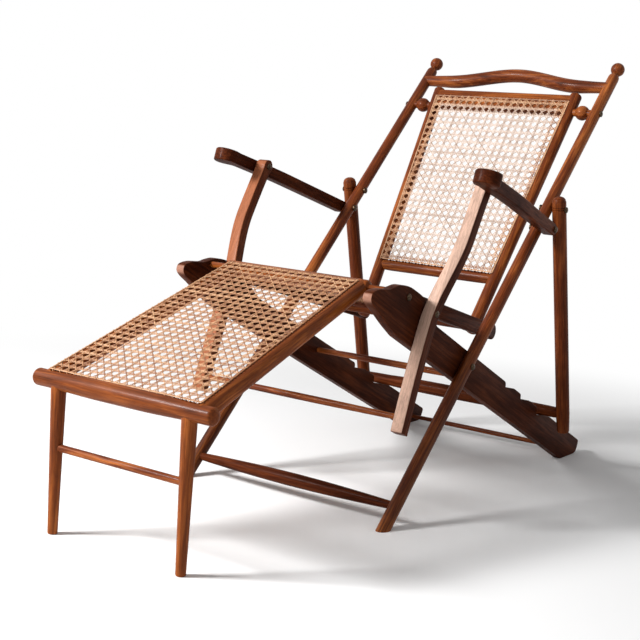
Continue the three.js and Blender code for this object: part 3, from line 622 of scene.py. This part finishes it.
def crosspiece(name, profile, y, z, place, *about, sides=ROUND_SIDES):
    """A turned piece across the chair, half of its profile on each side of the middle."""
    half = profile[-1][0] / 2
    piece(name, turned(profile, Vector((-half, y, z)), Vector((half, y, z)), sides), place, X, *about)


def lerp(first, second, share):
    return first + (second - first) * share


def spaced(low, high, steps):
    return [lerp(low, high, k / steps) for k in range(steps + 1)]


def smooth(value, low, high):
    share = min(max((value - low) / (high - low), 0), 1)
    return share * share * (3 - 2 * share)


def straight(low, high, steps, radius):
    return [(reach, radius) for reach in spaced(low, high, steps)]


def swelled(length, end_diameter, middle_diameter, steps=28):
    return [
        (length * share, lerp(end_diameter, middle_diameter, math.sin(math.pi * share)) / 2)
        for share in spaced(0, 1, steps)
    ]


def round_end(depth, radius):
    angles = spaced(0, math.pi / 2, ARC_STEPS)
    return [(depth * (1 - math.cos(a)), radius * math.sin(a)) for a in angles]


def ball(centre, radius, first, last):
    """The part of a ball between two angles from its widest place."""
    angles = spaced(first, last, 2 * ARC_STEPS)
    return [(centre + radius * math.sin(a), radius * math.cos(a)) for a in angles]


def flipped(profile, length):
    return [(length - reach, radius) for reach, radius in reversed(profile)]


def mirrored(profile, half):
    return profile + flipped(profile, 2 * half)[1:]


def board(outline, inner, thickness, side, bevel=0.0016):
    """A board with a side outline of (y, z) pairs and softened edges."""
    work = bmesh.new()
    low = inner if side > 0 else -inner - thickness
    face = work.faces.new([work.verts.new((low, y, z)) for y, z in outline])
    extruded = bmesh.ops.extrude_face_region(work, geom=[face])
    moved = [item for item in extruded["geom"] if isinstance(item, bmesh.types.BMVert)]
    bmesh.ops.translate(work, verts=moved, vec=(thickness, 0, 0))
    bmesh.ops.recalc_face_normals(work, faces=work.faces)
    rim = [edge for edge in work.edges if abs(edge.verts[0].co.x - edge.verts[1].co.x) < SAME_POINT]
    bmesh.ops.bevel(work, geom=rim, offset=bevel, segments=3, profile=0.5, affect="EDGES", clamp_overlap=True)
    return unpacked(work)


def box_ring(x0, x1, y0, y1, z, corner, steps=4):
    """A ring in X and Y with rounded corners."""
    corner = max(min(corner, (x1 - x0) / 2.05, (y1 - y0) / 2.05), 1e-5)
    ring = []
    for cx, cy, first in (
        (x1 - corner, y1 - corner, 0), (x0 + corner, y1 - corner, 1),
        (x0 + corner, y0 + corner, 2), (x1 - corner, y0 + corner, 3),
    ):
        for share in spaced(0, 1, steps):
            a = (first + share) * math.pi / 2
            ring.append(Vector((cx + corner * math.cos(a), cy + corner * math.sin(a), z)))
    return ring


def spline(points):
    """A smooth line through points, by the Catmull-Rom rule."""
    points = [Vector(point) for point in points]
    found = []
    for p0, p1, p2, p3 in zip(points[:1] + points, points, points[1:], points[2:] + points[-1:]):
        for t in spaced(0, 1, SPLINE_STEPS)[:-1]:
            found.append(0.5 * (
                2 * p1 + (p2 - p0) * t + (2 * p0 - 5 * p1 + 4 * p2 - p3) * t ** 2
                + (3 * p1 - p0 - 3 * p2 + p3) * t ** 3
            ))
    return found + points[-1:]


def quad_curve(start, control, end):
    return [
        Vector(start) * (1 - t) ** 2 + 2 * Vector(control) * t * (1 - t) + Vector(end) * t ** 2
        for t in spaced(0, 1, CURVE_STEPS)[1:]
    ]


# Side frame


def notch_points(seat, lead):
    """A notch in the plank's top edge: a step down, a ledge past the rail's seat and out behind it."""
    edge = PLANK_WIDTH / 2
    rise = math.tan(NOTCH_SLOPE)
    drop = (PROP_SEAT_DIAMETER / 2 + PLAY) / math.cos(NOTCH_SLOPE)

    def ledge(reach):
        return NOTCH_RAIL_UP - drop + (reach - seat) * rise

    start = seat - lead
    first = (start - NOTCH_STEP, edge)
    curve = quad_curve(first, (start - NOTCH_STEP / 3, edge), (start, ledge(start)))
    return [Vector(first), *curve, Vector((seat + (edge - ledge(seat)) / rise, edge))]


def plank_outline():
    """The plank's side: the notched top edge, the tail, the foot on the floor and the nose."""
    edge = PLANK_WIDTH / 2
    rail = in_group(PLANKS, PROP_RAIL)

    def floor_up(reach):
        return -(CROSSING.z + reach * math.sin(PLANK_ANGLE)) / math.cos(PLANK_ANGLE)

    points = [Vector((-HEAD_START, edge))]
    for spacing, lead in NOTCHES:
        points += notch_points(rail.y - spacing, lead)
    points.append(Vector((PLANK_REAR - TAIL_CORNER, edge)))
    points += quad_curve(points[-1], (PLANK_REAR, edge), (PLANK_REAR, edge - TAIL_CORNER))
    heel = PLANK_REAR - 2 * PLANK_HEEL
    points.append(Vector((PLANK_REAR, floor_up(PLANK_REAR) + PLANK_HEEL)))
    points += quad_curve(points[-1], (PLANK_REAR, floor_up(PLANK_REAR)), (heel, floor_up(heel)))
    floor_start = (CROSSING.z - edge * math.cos(PLANK_ANGLE)) / -math.sin(PLANK_ANGLE)
    points.append(Vector((floor_start, -edge)))
    return points + spline(
        (-HEAD_START - HEAD_LENGTH * reach, PLANK_WIDTH * up) for reach, up in HEAD_SHARES
    )


def make_side_frame():
    upright = Matrix.Translation(PLANKS.to_translation())
    lean = upright.inverted() @ PLANKS
    for name, side in SIDES:
        points, faces = board(plank_outline(), PLANK_INNER, PLANK_THICKNESS, side)
        shape = [lean @ point for point in points], faces
        piece(f"plank_{name}", shape, upright, Z, PLANK_WOOD, "side_frame", "dark_wood",
              f"side_plank_{name}")
    half = PLANK_INNER + ROD_TENON
    for label, reach, up, diameter in STRETCHERS:
        profile = swelled(2 * half, ROD_END_SHARE * diameter, diameter)
        crosspiece(f"stretcher_{label}", profile, reach, up, PLANKS, WARM_WOOD, "side_frame", "wood",
                   f"plank_stretcher_{label}", sides=ROD_SIDES)


# Poles


def pole_profile():
    radius, finial, neck = POLE_DIAMETER / 2, FINIAL_DIAMETER / 2, FINIAL_NECK / 2
    start = -math.acos(neck / finial)
    neck_top = POLE_TOP + finial * math.sin(start)
    neck_foot = neck_top - NECK_LENGTH
    profile = [(-POLE_FOOT - POLE_DIAMETER, radius)]
    profile += straight(-POLE_FOOT, neck_foot - SHOULDER[0][0], 40, radius)[1:-1]
    profile += [(neck_foot - drop, radius * share) for drop, share in SHOULDER]
    profile += [(neck_foot + 0.001, neck * 1.02), (lerp(neck_foot, neck_top, 0.5), neck * 0.94)]
    return profile + ball(POLE_TOP, finial, start, math.pi / 2)


def cut_at_floor(shape, place):
    """Cuts a skin off level where it stands on the floor."""
    points, faces = shape
    work = bmesh.new()
    vertices = [work.verts.new(place @ point) for point in points]
    for face in faces:
        work.faces.new([vertices[i] for i in face])
    bmesh.ops.remove_doubles(work, verts=work.verts, dist=SAME_POINT)
    whole = [*work.verts, *work.edges, *work.faces]
    cut = bmesh.ops.bisect_plane(work, geom=whole, plane_co=(0, 0, 0), plane_no=Z, clear_inner=True)
    rim = [item for item in cut["geom_cut"] if isinstance(item, bmesh.types.BMEdge)]
    bmesh.ops.contextual_create(work, geom=rim)
    points, faces = unpacked(work)
    back = place.inverted()
    return [back @ point for point in points], faces


def make_poles():
    for name, side in SIDES:
        start = side * POLE_X * X
        shape = cut_at_floor(turned(pole_profile(), start, start + Z), POLES)
        piece(f"pole_{name}", shape, POLES, Z, POLE_WOOD, "back_poles", "wood", f"back_pole_{name}")
    make_top_rail()
    profile = swelled(2 * POLE_X, SPINDLE_END, SPINDLE_DIAMETER, 40)
    crosspiece("spindle", profile, 0, SPINDLE_REACH, POLES, DARK_WOOD, "back_poles", "dark_wood",
               "front_stretcher")
    make_beads()


def make_top_rail():
    centres, radii = [], []
    for share in spaced(-1, 1, 72):
        rise = TOP_RAIL_RISE * (1 - smooth(abs(share), 0.0, TOP_RAIL_BOW)) - TOP_RAIL_DROP
        fullness = smooth((1 - abs(share)) / 2, *TOP_RAIL_FULL)
        centres.append(Vector((POLE_X * share, 0, TOP_RAIL_REACH + rise)))
        radii.append(lerp(TOP_RAIL_END, TOP_RAIL_DIAMETER, fullness) / 2)
    piece("bowed_rail", tube(centres, radii), POLES, X, WARM_WOOD, "back_poles", "wood", "top_rail")


def make_beads():
    collar, widest = BEAD_COLLAR / 2, BEAD_DIAMETER / 2
    angle = math.acos(collar / widest)
    start = in_group(POLES, BACK_PIVOT).z * Z
    for name, side in SIDES:
        profile = [(stile_outer(0) - 0.002, collar)]
        profile += ball(abs(middle(f"spacer_bead_{name}").x), widest, -angle, angle)
        profile.append((POLE_X - POLE_DIAMETER / 2 + 0.003, collar))
        shape = turned(profile, start, start + side * X)
        piece(f"bead_{name}", shape, POLES, X, WARM_WOOD, "back_poles", "wood", f"spacer_bead_{name}")


# Prop


def make_prop():
    length = PROP_TOP + PROP_FOOT
    radius, foot = PROP_DIAMETER / 2, PROP_FOOT_DIAMETER / 2
    rail_at = PROP_FOOT - PROP_RAIL_REACH
    profile = [(reach, foot - less) for reach, less in PROP_FOOT_CORNER]
    profile += [(rail_at - 0.02, lerp(foot, radius, 0.6))] + straight(rail_at, length, 24, radius)[:22]
    for drop in PROP_GROOVES:
        profile += [(length - drop + reach, radius - less) for reach, less in PROP_GROOVE_SHAPE]
    profile += [(length - drop, radius - less) for drop, less in PROP_STEP]
    profile += flipped(round_end(PROP_DOME, radius - PROP_DOME_STEP), length)
    profile.sort(key=lambda pair: pair[0])
    for name, side in SIDES:
        start = Vector((side * PROP_X, 0, -PROP_FOOT))
        shape = turned(profile, start, start + Z)
        piece(f"prop_{name}", shape, PROP, Z, PROP_WOOD, "rear_prop", "wood", f"prop_post_{name}")
    curve = spline((PROP_X - x, diameter / 2) for x, diameter in PROP_RAIL_STOPS)
    profile = mirrored([tuple(point) for point in curve], PROP_X)
    crosspiece("rail_in_notches", profile, 0, -PROP_RAIL_REACH, PROP, DARK_WOOD, "rear_prop", "dark_wood",
               "prop_rail")


# Caned back

SPLAY = (BACK_TOP_HALF - BACK_BOTTOM_HALF) / (BACK_TOP_RAIL - BACK_BOTTOM_RAIL)


def stile_at(up):
    return BACK_TOP_HALF + (up - BACK_TOP_RAIL) * SPLAY


def stile_outer(up):
    return stile_at(up) + STILE_DIAMETER / 2 * math.hypot(1, SPLAY)


def make_back():
    tip = round_end(STILE_DOME, STILE_DIAMETER / 2)
    for name, side in SIDES:
        start, end = [Vector((side * stile_at(up), 0, up)) for up in STILE_ENDS]
        length = (end - start).length
        profile = tip + straight(0.01, length - 0.01, 30, STILE_DIAMETER / 2) + flipped(tip, length)
        piece(f"stile_{name}", turned(profile, start, end), BACK, Z, WARM_WOOD, "back_panel", "wood",
              f"back_stile_{name}")
    half = stile_at(BACK_BOTTOM_RAIL)
    radius = BACK_RAIL_DIAMETER / 2
    profile = [(0, radius * 0.85), (0.028, radius)] + straight(0.03, half, 12, radius)
    crosspiece("rail_bottom", mirrored(profile, half), 0, BACK_BOTTOM_RAIL, BACK, WARM_WOOD, "back_panel",
               "wood", "back_rail_bottom")
    # The upper rail is a round-edged board, since the cane's upper border lies lower on it
    half = stile_at(BACK_TOP_RAIL) - 0.003
    flat = box_ring(-radius, radius, BACK_BOARD_BOTTOM, BACK_TOP_RAIL + radius, 0, BACK_BOARD_CORNER, 6)
    rings = [[Vector((x, point.x, point.y)) for point in flat] for x in spaced(-half, half, 40)]
    piece("rail_top", skin(rings), BACK, X, ORANGE_WOOD, "back_panel", "wood", "back_rail_top")


# Caned seat


def bar_inner(reach):
    return PLANK_INNER - PLAY - SEAT_BAR_THICKNESS - (reach + SEAT_EYE) * SEAT_TAPER


def make_seat():
    inset = math.asin(SEAT_BAR_HEIGHT / 2 / SEAT_EYE)
    outline = []
    for centre, first in ((0, 0), (SEAT_LENGTH + SEAT_TAIL, math.pi)):
        for a in spaced(first + inset, first + 2 * math.pi - inset, 24):
            outline.append(Vector((centre + SEAT_EYE * math.cos(a), SEAT_EYE * math.sin(a))))
    for name, side in SIDES:
        shape = board(outline, 0, SEAT_BAR_THICKNESS, side, 0.002)
        place = SEAT @ Matrix.Translation(side * bar_inner(0) * X)
        place @= Matrix.Rotation(side * math.atan(SEAT_TAPER), 4, "Z")
        piece(f"bar_{name}", shape, place, Y, DARK_WOOD, "seat_panel", "dark_wood",
              f"seat_bar_{name}")
    for label, reach in (("front", SEAT_FRONT_RAIL), ("rear", SEAT_REAR_RAIL)):
        half = bar_inner(reach) + SEAT_RAIL_TENON
        profile = straight(0, 2 * half, 20, SEAT_RAIL_DIAMETER / 2)
        crosspiece(f"seat_cross_{label}", profile, reach, 0, SEAT, WARM_WOOD, "seat_panel", "wood",
                   f"seat_rail_{label}", sides=ROD_SIDES)


# Arm supports

SUPPORT_TOP = in_group(SUPPORTS, ARM_TIP)
SUPPORT_LOW = in_group(SUPPORTS, SUPPORT_FOOT)


def support_line(share):
    bow = 4 * share * (1 - share)
    y = lerp(SUPPORT_LOW.y, SUPPORT_TOP.y, share) * (1 - bow)
    return y, lerp(SUPPORT_LOW.z, SUPPORT_TOP.z, share)


def support_ring(side, y, z, depth, corner=SUPPORT_CORNER):
    inner = SUPPORT_INNER + SUPPORT_FLARE * smooth(z, *SUPPORT_FLARE_SPAN)
    x0, x1 = sorted((side * inner, side * (inner + SUPPORT_WIDTH)))
    return box_ring(x0, x1, y - depth / 2, y + depth / 2, z, corner)


def make_supports():
    for name, side in SIDES:
        foot = [
            support_ring(side, *support_line(share), SUPPORT_DEPTH - less, corner)
            for share, less, corner in SUPPORT_FOOT_RINGS
        ]
        line = [support_line(share) for share in spaced(0.003, 0.97, 48)]
        rings = [support_ring(side, y, z, SUPPORT_DEPTH) for y, z in line]
        for a in spaced(-0.6, math.pi / 2, 21)[3:]:
            z = SUPPORT_TOP.z + SUPPORT_HEAD * math.sin(a)
            depth = max(2 * SUPPORT_HEAD * math.cos(a), 0.0004)
            rings.append(support_ring(side, SUPPORT_TOP.y, z, depth))
        rings.sort(key=lambda ring: ring[0].z)
        material = NEAR_SUPPORT_WOOD if side > 0 else FAR_SUPPORT_WOOD
        piece(f"support_{name}", skin(foot + rings), SUPPORTS, Z, material, "arm_supports", "wood",
              f"arm_support_{name}")
    half = SUPPORT_INNER + ROD_TENON
    profile = swelled(2 * half, ROD_END_SHARE * SUPPORT_ROD_DIAMETER, SUPPORT_ROD_DIAMETER)
    place = support_line(SUPPORT_ROD_UP / (SUPPORT_TOP.z - SUPPORT_LOW.z))
    crosspiece("support_rod", profile, *place, SUPPORTS, WARM_WOOD, "arm_supports", "wood",
               "support_stretcher", sides=ROD_SIDES)


# Arms

ARM_SPLAY = (ARM_TIP_INNER - ARM_INNER) / in_group(ARMS, ARM_TIP).length
DISC_RADIUS = ARM_DISC / 2
DISC_Y = -ARM_LENGTH + DISC_RADIUS
DISC_X = ARM_INNER - DISC_Y * ARM_SPLAY + DISC_RADIUS - ARM_DISC_INSET


def arm_edge(y, way):
    """The inner edge of an arm (way -1) or the outer one (way 1), blended into the disc at its front."""
    bar = ARM_INNER - y * ARM_SPLAY
    if way > 0:
        bar += lerp(ARM_WIDTH, ARM_REAR_WIDTH, smooth(y, *ARM_NARROWING))
    reach = y - DISC_Y
    disc = DISC_X + way * math.sqrt(DISC_RADIUS ** 2 - min(max(reach, 0), DISC_RADIUS) ** 2)
    blend = smooth(reach, 0.006, DISC_RADIUS * 1.35)
    return lerp(disc, bar, blend) if way * (disc - bar) > 0 else bar


def arm_ring(side, x0, x1, y, half_height):
    low, high = sorted((side * x0, side * x1))
    flat = box_ring(low, high, -half_height, half_height, y, ARM_CORNER)
    dip = ARM_DIP * smooth(-y, ARM_LENGTH * 0.5, ARM_LENGTH)
    return [Vector((point.x, y, point.y - dip)) for point in flat]


def make_arms():
    half = ARM_THICKNESS / 2
    bar = [(y, half) for y in spaced(DISC_Y, 0, 60)[1:]]
    for a in (math.pi / 2 * k / 14.3 for k in range(1, 15)):
        bar.append((half * math.sin(a), half * math.cos(a)))
    for name, side in SIDES:
        rings = []
        for k, a in enumerate(spaced(0, math.pi / 2, 16)[1:], 1):
            reach = DISC_RADIUS * math.sin(a)
            y = DISC_Y - DISC_RADIUS * math.cos(a)
            height = half - 0.002 * max(0, 1 - k / 3)
            rings.append(arm_ring(side, DISC_X - reach, DISC_X + reach, y, height))
        rings += [arm_ring(side, arm_edge(y, -1), arm_edge(y, 1), y, height) for y, height in bar]
        piece(f"armrest_{name}", skin(rings), ARMS, Y, DARK_WOOD, f"arm_{name}", "dark_wood",
              f"arm_{name}")


# Leg rest


def leg_rail_at(reach):
    return lerp(LEG_REST_REAR_HALF, LEG_REST_FRONT_HALF, reach / LEG_REST_LENGTH)


def make_leg_rest():
    make_leg_rest_rails()
    foot = in_group(LEG_REST, Vector((0, LEG_FRONT.y, 0)))
    low, high = LEG_FOOT_DIAMETER / 2, LEG_TOP_DIAMETER / 2
    for name, side in SIDES:
        start = Vector((side * LEG_HALF, foot.y, foot.z))
        end = Vector((side * LEG_HALF, -LEG_REST_LENGTH, 0))
        profile = [(reach, low - less) for reach, less in LEG_FOOT_CORNER]
        profile += zip(spaced(0.0035, (end - start).length, 20), spaced(low, high, 20))
        piece(f"front_leg_{name}", turned(profile, start, end, ROD_SIDES), LEG_REST, end - start,
              ORANGE_WOOD, "leg_rest", "wood", f"leg_{name}")
    at = in_group(LEG_REST, Vector((0, LEG_FRONT.y, LEG_STRETCHER_HEIGHT)))
    profile = straight(0, 2 * LEG_HALF, 20, LEG_STRETCHER_DIAMETER / 2)
    crosspiece("front_leg_rod", profile, at.y, at.z, LEG_REST, WARM_WOOD, "leg_rest", "wood",
               "leg_stretcher", sides=ROD_SIDES)


def make_leg_rest_rails():
    radius = LEG_RAIL_DIAMETER / 2
    for name, side in SIDES:
        start, end = [Vector((side * leg_rail_at(reach), -reach, 0)) for reach in (0, LEG_REST_LENGTH)]
        shape = turned(straight(0, (end - start).length, 24, radius), start, end)
        piece(f"side_rail_{name}", shape, LEG_REST, Y, ORANGE_WOOD, "leg_rest", "wood",
              f"leg_rest_side_rail_{name}")
    profile = round_end(FRONT_RAIL_DOME, FRONT_RAIL_DIAMETER / 2)
    for share in spaced(0, 1, 18):
        diameter = lerp(FRONT_RAIL_DIAMETER, FRONT_RAIL_MIDDLE, smooth(share, *FRONT_RAIL_SWELL))
        profile.append((lerp(FRONT_RAIL_DOME + 0.003, FRONT_RAIL_HALF, share), diameter / 2))
    crosspiece("front_rail", mirrored(profile, FRONT_RAIL_HALF), -LEG_REST_LENGTH, 0, LEG_REST, ORANGE_WOOD,
               "leg_rest", "wood", "leg_rest_front_rail")
    half = PLANK_INNER + PLANK_THICKNESS - PEG_SHORT
    full, peg = REAR_RAIL_DIAMETER / 2, PEG_DIAMETER / 2
    start = half - LEG_REST_REAR_HALF - radius
    profile = [(0, peg), (start - 0.004, peg)]
    profile += [(start + reach, full * share) for reach, share in REAR_SHOULDER] + [(half, full)]
    crosspiece("rear_rail", mirrored(profile, half), 0, 0, LEG_REST, ORANGE_WOOD, "leg_rest", "wood",
               "leg_rest_rear_rail")


# Cane


class Weave:
    """A sheet of cane in X and Y between two straight edges of different width, with height along Z."""

    def __init__(self, sheet, seed):
        self.low, self.low_half, self.high, self.high_half = sheet
        self.ribbons, self.shades = [], []
        self.chance = random.Random(seed)
        self.middle = (self.low + self.high) / 2

    def span(self, start, run):
        """How far the line through start along run lies on the sheet, as two distances."""
        lean = (self.high_half - self.low_half) / (self.high - self.low)
        walls = [
            (Vector((0, 1)), -self.low), (Vector((0, -1)), self.high),
            (Vector((1, lean)), self.low_half - lean * self.low),
            (Vector((-1, lean)), self.low_half - lean * self.low),
        ]
        first, last = -9.0, 9.0
        for normal, level in walls:
            value = normal.dot(start) + level
            slope = normal.dot(run)
            if abs(slope) < 1e-9:
                if value < 0:
                    return 0, 0
            elif slope > 0:
                first = max(first, -value / slope)
            else:
                last = min(last, -value / slope)
        return first, last

    def strand(self, start, run, heights, way):
        """A flat strand along run through start, with a height at each distance, cut to the sheet."""
        first, last = self.span(start, run)
        if last - first <= CANE_PITCH / 3:
            return
        inside = [(d, h) for d, h in heights(first, last, way) if first + CANE_END < d < last - CANE_END]
        path = [(first, -CANE_PLUNGE), (first + CANE_BEND, 0.0)] + inside
        path += [(last - CANE_BEND, 0.0), (last, -CANE_PLUNGE)]
        self.ribbon([(start + run * d, h) for d, h in path], run, CANE_WIDTH, CANE_DEPTH)

    def ribbon(self, path, run, width, depth):
        side = Vector((-run.y, run.x)) * width / 2
        self.ribbons.append(skin([
            [Vector((*(place + side * share), height + depth * up)) for share, up in CANE_SECTION]
            for place, height in path
        ]))
        self.shades += [self.chance.random()] * (len(path) * len(CANE_SECTION))

    def pairs(self):
        """The strands along and across, which weave with each other in pairs."""
        columns = int(max(self.low_half, self.high_half) / CANE_PITCH) + 1
        rows = int((self.high - self.low) / CANE_PITCH / 2) + 1
        for count, out, run, way in ((columns, X.xy, Y.xy, 1), (rows, Y.xy, X.xy, -1)):
            for k in range(-count, count + 1):
                for s in (-1, 1):
                    start = Vector((0, self.middle)) + out * (k * CANE_PITCH + s * CANE_PAIR)
                    self.strand(start, run, woven, way * s)

    def slants(self):
        """The single strands both ways, which cross on the pairs between their nodes."""
        reach = max(self.low_half, self.high_half) + (self.high - self.low)
        count = int(reach / CANE_PITCH) + 1
        for k in range(-count, count + 1):
            for way in (1, -1):
                start = Vector((0, self.middle + (k + 0.5) * CANE_PITCH))
                self.strand(start, Vector((1, way)).normalized(), slanted, way)

    def edges(self):
        """The sheet's edges, each by its start, direction and length."""
        corners = [
            Vector((-self.low_half, self.low)), Vector((self.low_half, self.low)),
            Vector((self.high_half, self.high)), Vector((-self.high_half, self.high)),
        ]
        for start, end in zip(corners, corners[1:] + corners[:1]):
            yield start, (end - start).normalized(), (end - start).length

    def binders(self):
        """The flat cane along the edges, tied down by a loop at each pitch."""
        for start, run, length in self.edges():
            steps = int(length / BINDER_STEP)
            path = [(start + run * length * k / steps, BINDER_RISE) for k in range(steps + 1)]
            path = [(start, -CANE_PLUNGE)] + path + [(path[-1][0], -CANE_PLUNGE)]
            self.ribbon(path, run, BINDER_WIDTH, CANE_DEPTH * 1.2)
            side = Vector((-run.y, run.x))
            for reach in centred(length, CANE_PITCH):
                loop = [(start + run * reach + side * d, h) for d, h in LOOP_SHAPE]
                self.ribbon(loop, side, CANE_WIDTH * 0.85, CANE_DEPTH * 0.8)

    def pegs(self, lift):
        """The dark pegs in the drilled holes along the border."""
        shapes = []
        for start, run, length in self.edges():
            out = Vector((run.y, -run.x)) * PEG_HOLE_OUT
            for reach in centred(length, CANE_PITCH / 2):
                centre = start + out + run * reach
                shapes.append(skin([
                    circle(Vector((*centre, lift + up)), share * PEG_HOLE_RADIUS, X, Y, PEG_SIDES)
                    for up, share in PEG_LEVELS
                ]))
        return gathered(shapes)


def centred(length, pitch):
    """Distances a pitch apart, spread about the middle of a length."""
    count = int(length / pitch)
    return [length / 2 + (k - count / 2) * pitch for k in range(count + 1)]


def woven(first, last, way):
    """Heights of a strand of a pair, over one strand and under the next at each crossing."""
    bends = ((-2.3, 0), (-1, -way * CANE_WEAVE), (1, way * CANE_WEAVE), (2.3, 0))
    rows = range(math.floor(first / CANE_PITCH), math.ceil(last / CANE_PITCH) + 1)
    return [(row * CANE_PITCH + out * CANE_PAIR, height) for row in rows for out, height in bends]


def slanted(first, last, way):
    """Heights of a slanted strand: over one set of pairs and under the other."""
    step = CANE_PITCH * math.sqrt(2) / 8
    places = range(math.floor(first / step), math.ceil(last / step))
    return [(k * step, way * CANE_SLANT_WEAVE * math.cos(k * math.pi / 4)) for k in places]


def make_cane(name, sheet, lift, place, body, slot, node, material, seed):
    """Weaves a cane on a sheet, which is given by its low edge and half width and its high ones."""
    weave = Weave(sheet, seed)
    weave.pairs()
    weave.slants()
    weave.binders()
    points, faces = gathered(weave.ribbons)
    shape = [point + lift * Z for point in points], faces
    piece(name, shape, place, Z, material, body, slot, node, sharp=CANE_SMOOTH_ANGLE, shades=weave.shades)
    piece(f"{name}_pegs", weave.pegs(lift), place, Z, DARK_WOOD, body, "dark_wood")


def make_canes():
    low_half, high_half = [stile_at(up) - BACK_CANE_INSET for up in (BACK_CANE_BOTTOM, BACK_CANE_TOP)]
    make_cane(
        "back_weave", (BACK_CANE_BOTTOM, low_half, BACK_CANE_TOP, high_half), STILE_DIAMETER / 2,
        BACK @ Matrix.Rotation(math.pi / 2, 4, "X"), "back_panel", "pale_cane", "back_cane", PALE_CANE, 1,
    )
    low_half, high_half = [bar_inner(at) - SEAT_CANE_INSET for at in (SEAT_FRONT_RAIL, SEAT_REAR_RAIL)]
    make_cane(
        "seat_weave", (SEAT_FRONT_RAIL, low_half, SEAT_REAR_RAIL, high_half),
        SEAT_RAIL_DIAMETER / 2 + SEAT_CANE_LIFT, SEAT, "seat_panel", "tan_cane", "seat_cane", TAN_CANE, 2,
    )
    low, high = -LEG_REST_LENGTH + LEG_CANE_INSET, -LEG_CANE_REAR
    make_cane(
        "leg_rest_weave", (low, leg_rail_at(-low), high, leg_rail_at(-high)),
        LEG_RAIL_DIAMETER / 2 + LEG_CANE_LIFT, LEG_REST, "leg_rest", "tan_cane", "leg_rest_cane", TAN_CANE, 3,
    )


# Bolts


def bolt_profile(grip, nut):
    head = BOLT_HEAD_RADIUS
    profile = []
    if nut:
        profile += [(-BOLT_HEAD_HEIGHT, head * 0.8), (-BOLT_HEAD_HEIGHT + BOLT_EDGE, head)]
        profile += [(-0.0004, head), (0, head * 0.9)]
    profile += [(0, BOLT_RADIUS), (grip, BOLT_RADIUS), (grip, head * 0.97), (grip + BOLT_EDGE, head)]
    dome = BOLT_HEAD_HEIGHT - BOLT_EDGE
    for a in spaced(0, math.pi / 2, ARC_STEPS)[1:]:
        profile.append((grip + BOLT_EDGE + dome * math.sin(a), head * math.cos(a)))
    return profile


def make_bolts():
    rows = (
        ("pole_pivot_bolt", "side_frame", True, 1), ("support_pivot_bolt", "side_frame", True, 1),
        ("arm_pivot_bolt", "back_poles", True, 1), ("prop_pivot_bolt", "back_poles", True, 1),
        ("back_pivot_bolt", "back_poles", False, 1), ("seat_pivot_bolt", "seat_panel", True, 1),
        ("knee_pin", "seat_panel", False, 1), ("arm_screw", "arm_supports", False, -1),
    )
    for label, body, nut, outward in rows:
        for name, side in SIDES:
            make_bolt(f"{label}_{name}", body, nut, side * outward)


def make_bolt(node, body, nut, way):
    low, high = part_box(node)
    inner, outer = (low.x, high.x) if way > 0 else (high.x, low.x)
    start = inner + way * BOLT_HEAD_HEIGHT * nut
    grip = abs(outer - start) - BOLT_HEAD_HEIGHT
    place = Matrix.Translation(side_point(middle(node)))
    first = start * X
    shape = turned(bolt_profile(grip, nut), first, first + way * X, BOLT_SIDES)
    piece(f"{node}_turned", shape, place, X, BOLT_METAL, body, "bolt", node)


# Floor, light and camera


def make_stage():
    mesh = bpy.data.meshes.new("floor")
    corners = [(x * FLOOR_SIZE, y * FLOOR_SIZE, 0) for x, y in ((-1, -1), (1, -1), (1, 1), (-1, 1))]
    mesh.from_pydata(corners, [], [(0, 1, 2, 3)])
    floor = bpy.data.objects.new("floor", mesh)
    bpy.context.scene.collection.objects.link(floor)
    mesh.materials.append(floor_material())


def floor_material():
    """A pale floor that takes the chair's shadow and fades to plain white further out."""
    made, nodes = new_material("pale_floor")
    place = nodes.add("TexCoord").outputs["Object"]
    far = nodes.add("VectorMath", {"operation": "LENGTH"}, (place,)).outputs["Value"]
    nodes.shade(Base_Color=(FLOOR_GREY, FLOOR_GREY, FLOOR_GREY, 1), Roughness=0.9)
    near_look = nodes.tree.nodes["Principled BSDF"].outputs["BSDF"]
    glow = nodes.add("Emission", Color=(1, 1, 1, 1), Strength=1.0).outputs["Emission"]
    share = nodes.maths("MULTIPLY", nodes.eased(far, *FLOOR_FADE), nodes.seen())
    mix = nodes.add("MixShader", None, (share, near_look, glow))
    nodes.put(nodes.tree.nodes["Material Output"], "Surface", mix.outputs[0])
    return made


def make_lamp(name, position, target, size, power):
    lamp = bpy.data.lights.new(name, "AREA")
    lamp.size = size
    lamp.energy = power
    made = bpy.data.objects.new(name, lamp)
    made.location = position
    made.rotation_euler = (Vector(target) - Vector(position)).to_track_quat("-Z", "Y").to_euler()
    bpy.context.scene.collection.objects.link(made)


def make_world():
    """White to the camera, and dimmer as a light."""
    world = bpy.data.worlds.new("studio")
    world.use_nodes = True
    nodes = Nodes(world.node_tree)
    background = nodes.tree.nodes["Background"]
    nodes.put(background, "Strength", nodes.eased(nodes.seen(), 0.0, 1.0, WORLD_LEVEL))
    nodes.put(background, "Color", (1, 1, 1, 1))
    bpy.context.scene.world = world


def make_camera():
    data = bpy.data.cameras.new("photo_view")
    data.sensor_width = 36
    data.lens = 72.564
    camera = bpy.data.objects.new("photo_view", data)
    camera.location = (1.4554, -2.2329, 0.7202)
    camera.rotation_euler = [math.radians(degrees) for degrees in (81.951, -4.0778, 35.1407)]
    bpy.context.scene.collection.objects.link(camera)
    bpy.context.scene.camera = camera


make_camera()
make_side_frame()
make_poles()
make_prop()
make_back()
make_seat()
make_supports()
make_arms()
make_leg_rest()
make_canes()
make_bolts()
make_stage()
make_world()
make_lamp("key", (-1.7, -2.5, 2.2), target=(0.05, 0.0, 0.4), size=0.8, power=190)
make_lamp("fill", (2.4, -2.2, 1.6), target=(0.0, 0.1, 0.4), size=2.0, power=5)
bpy.context.scene.view_settings.view_transform = "Standard"
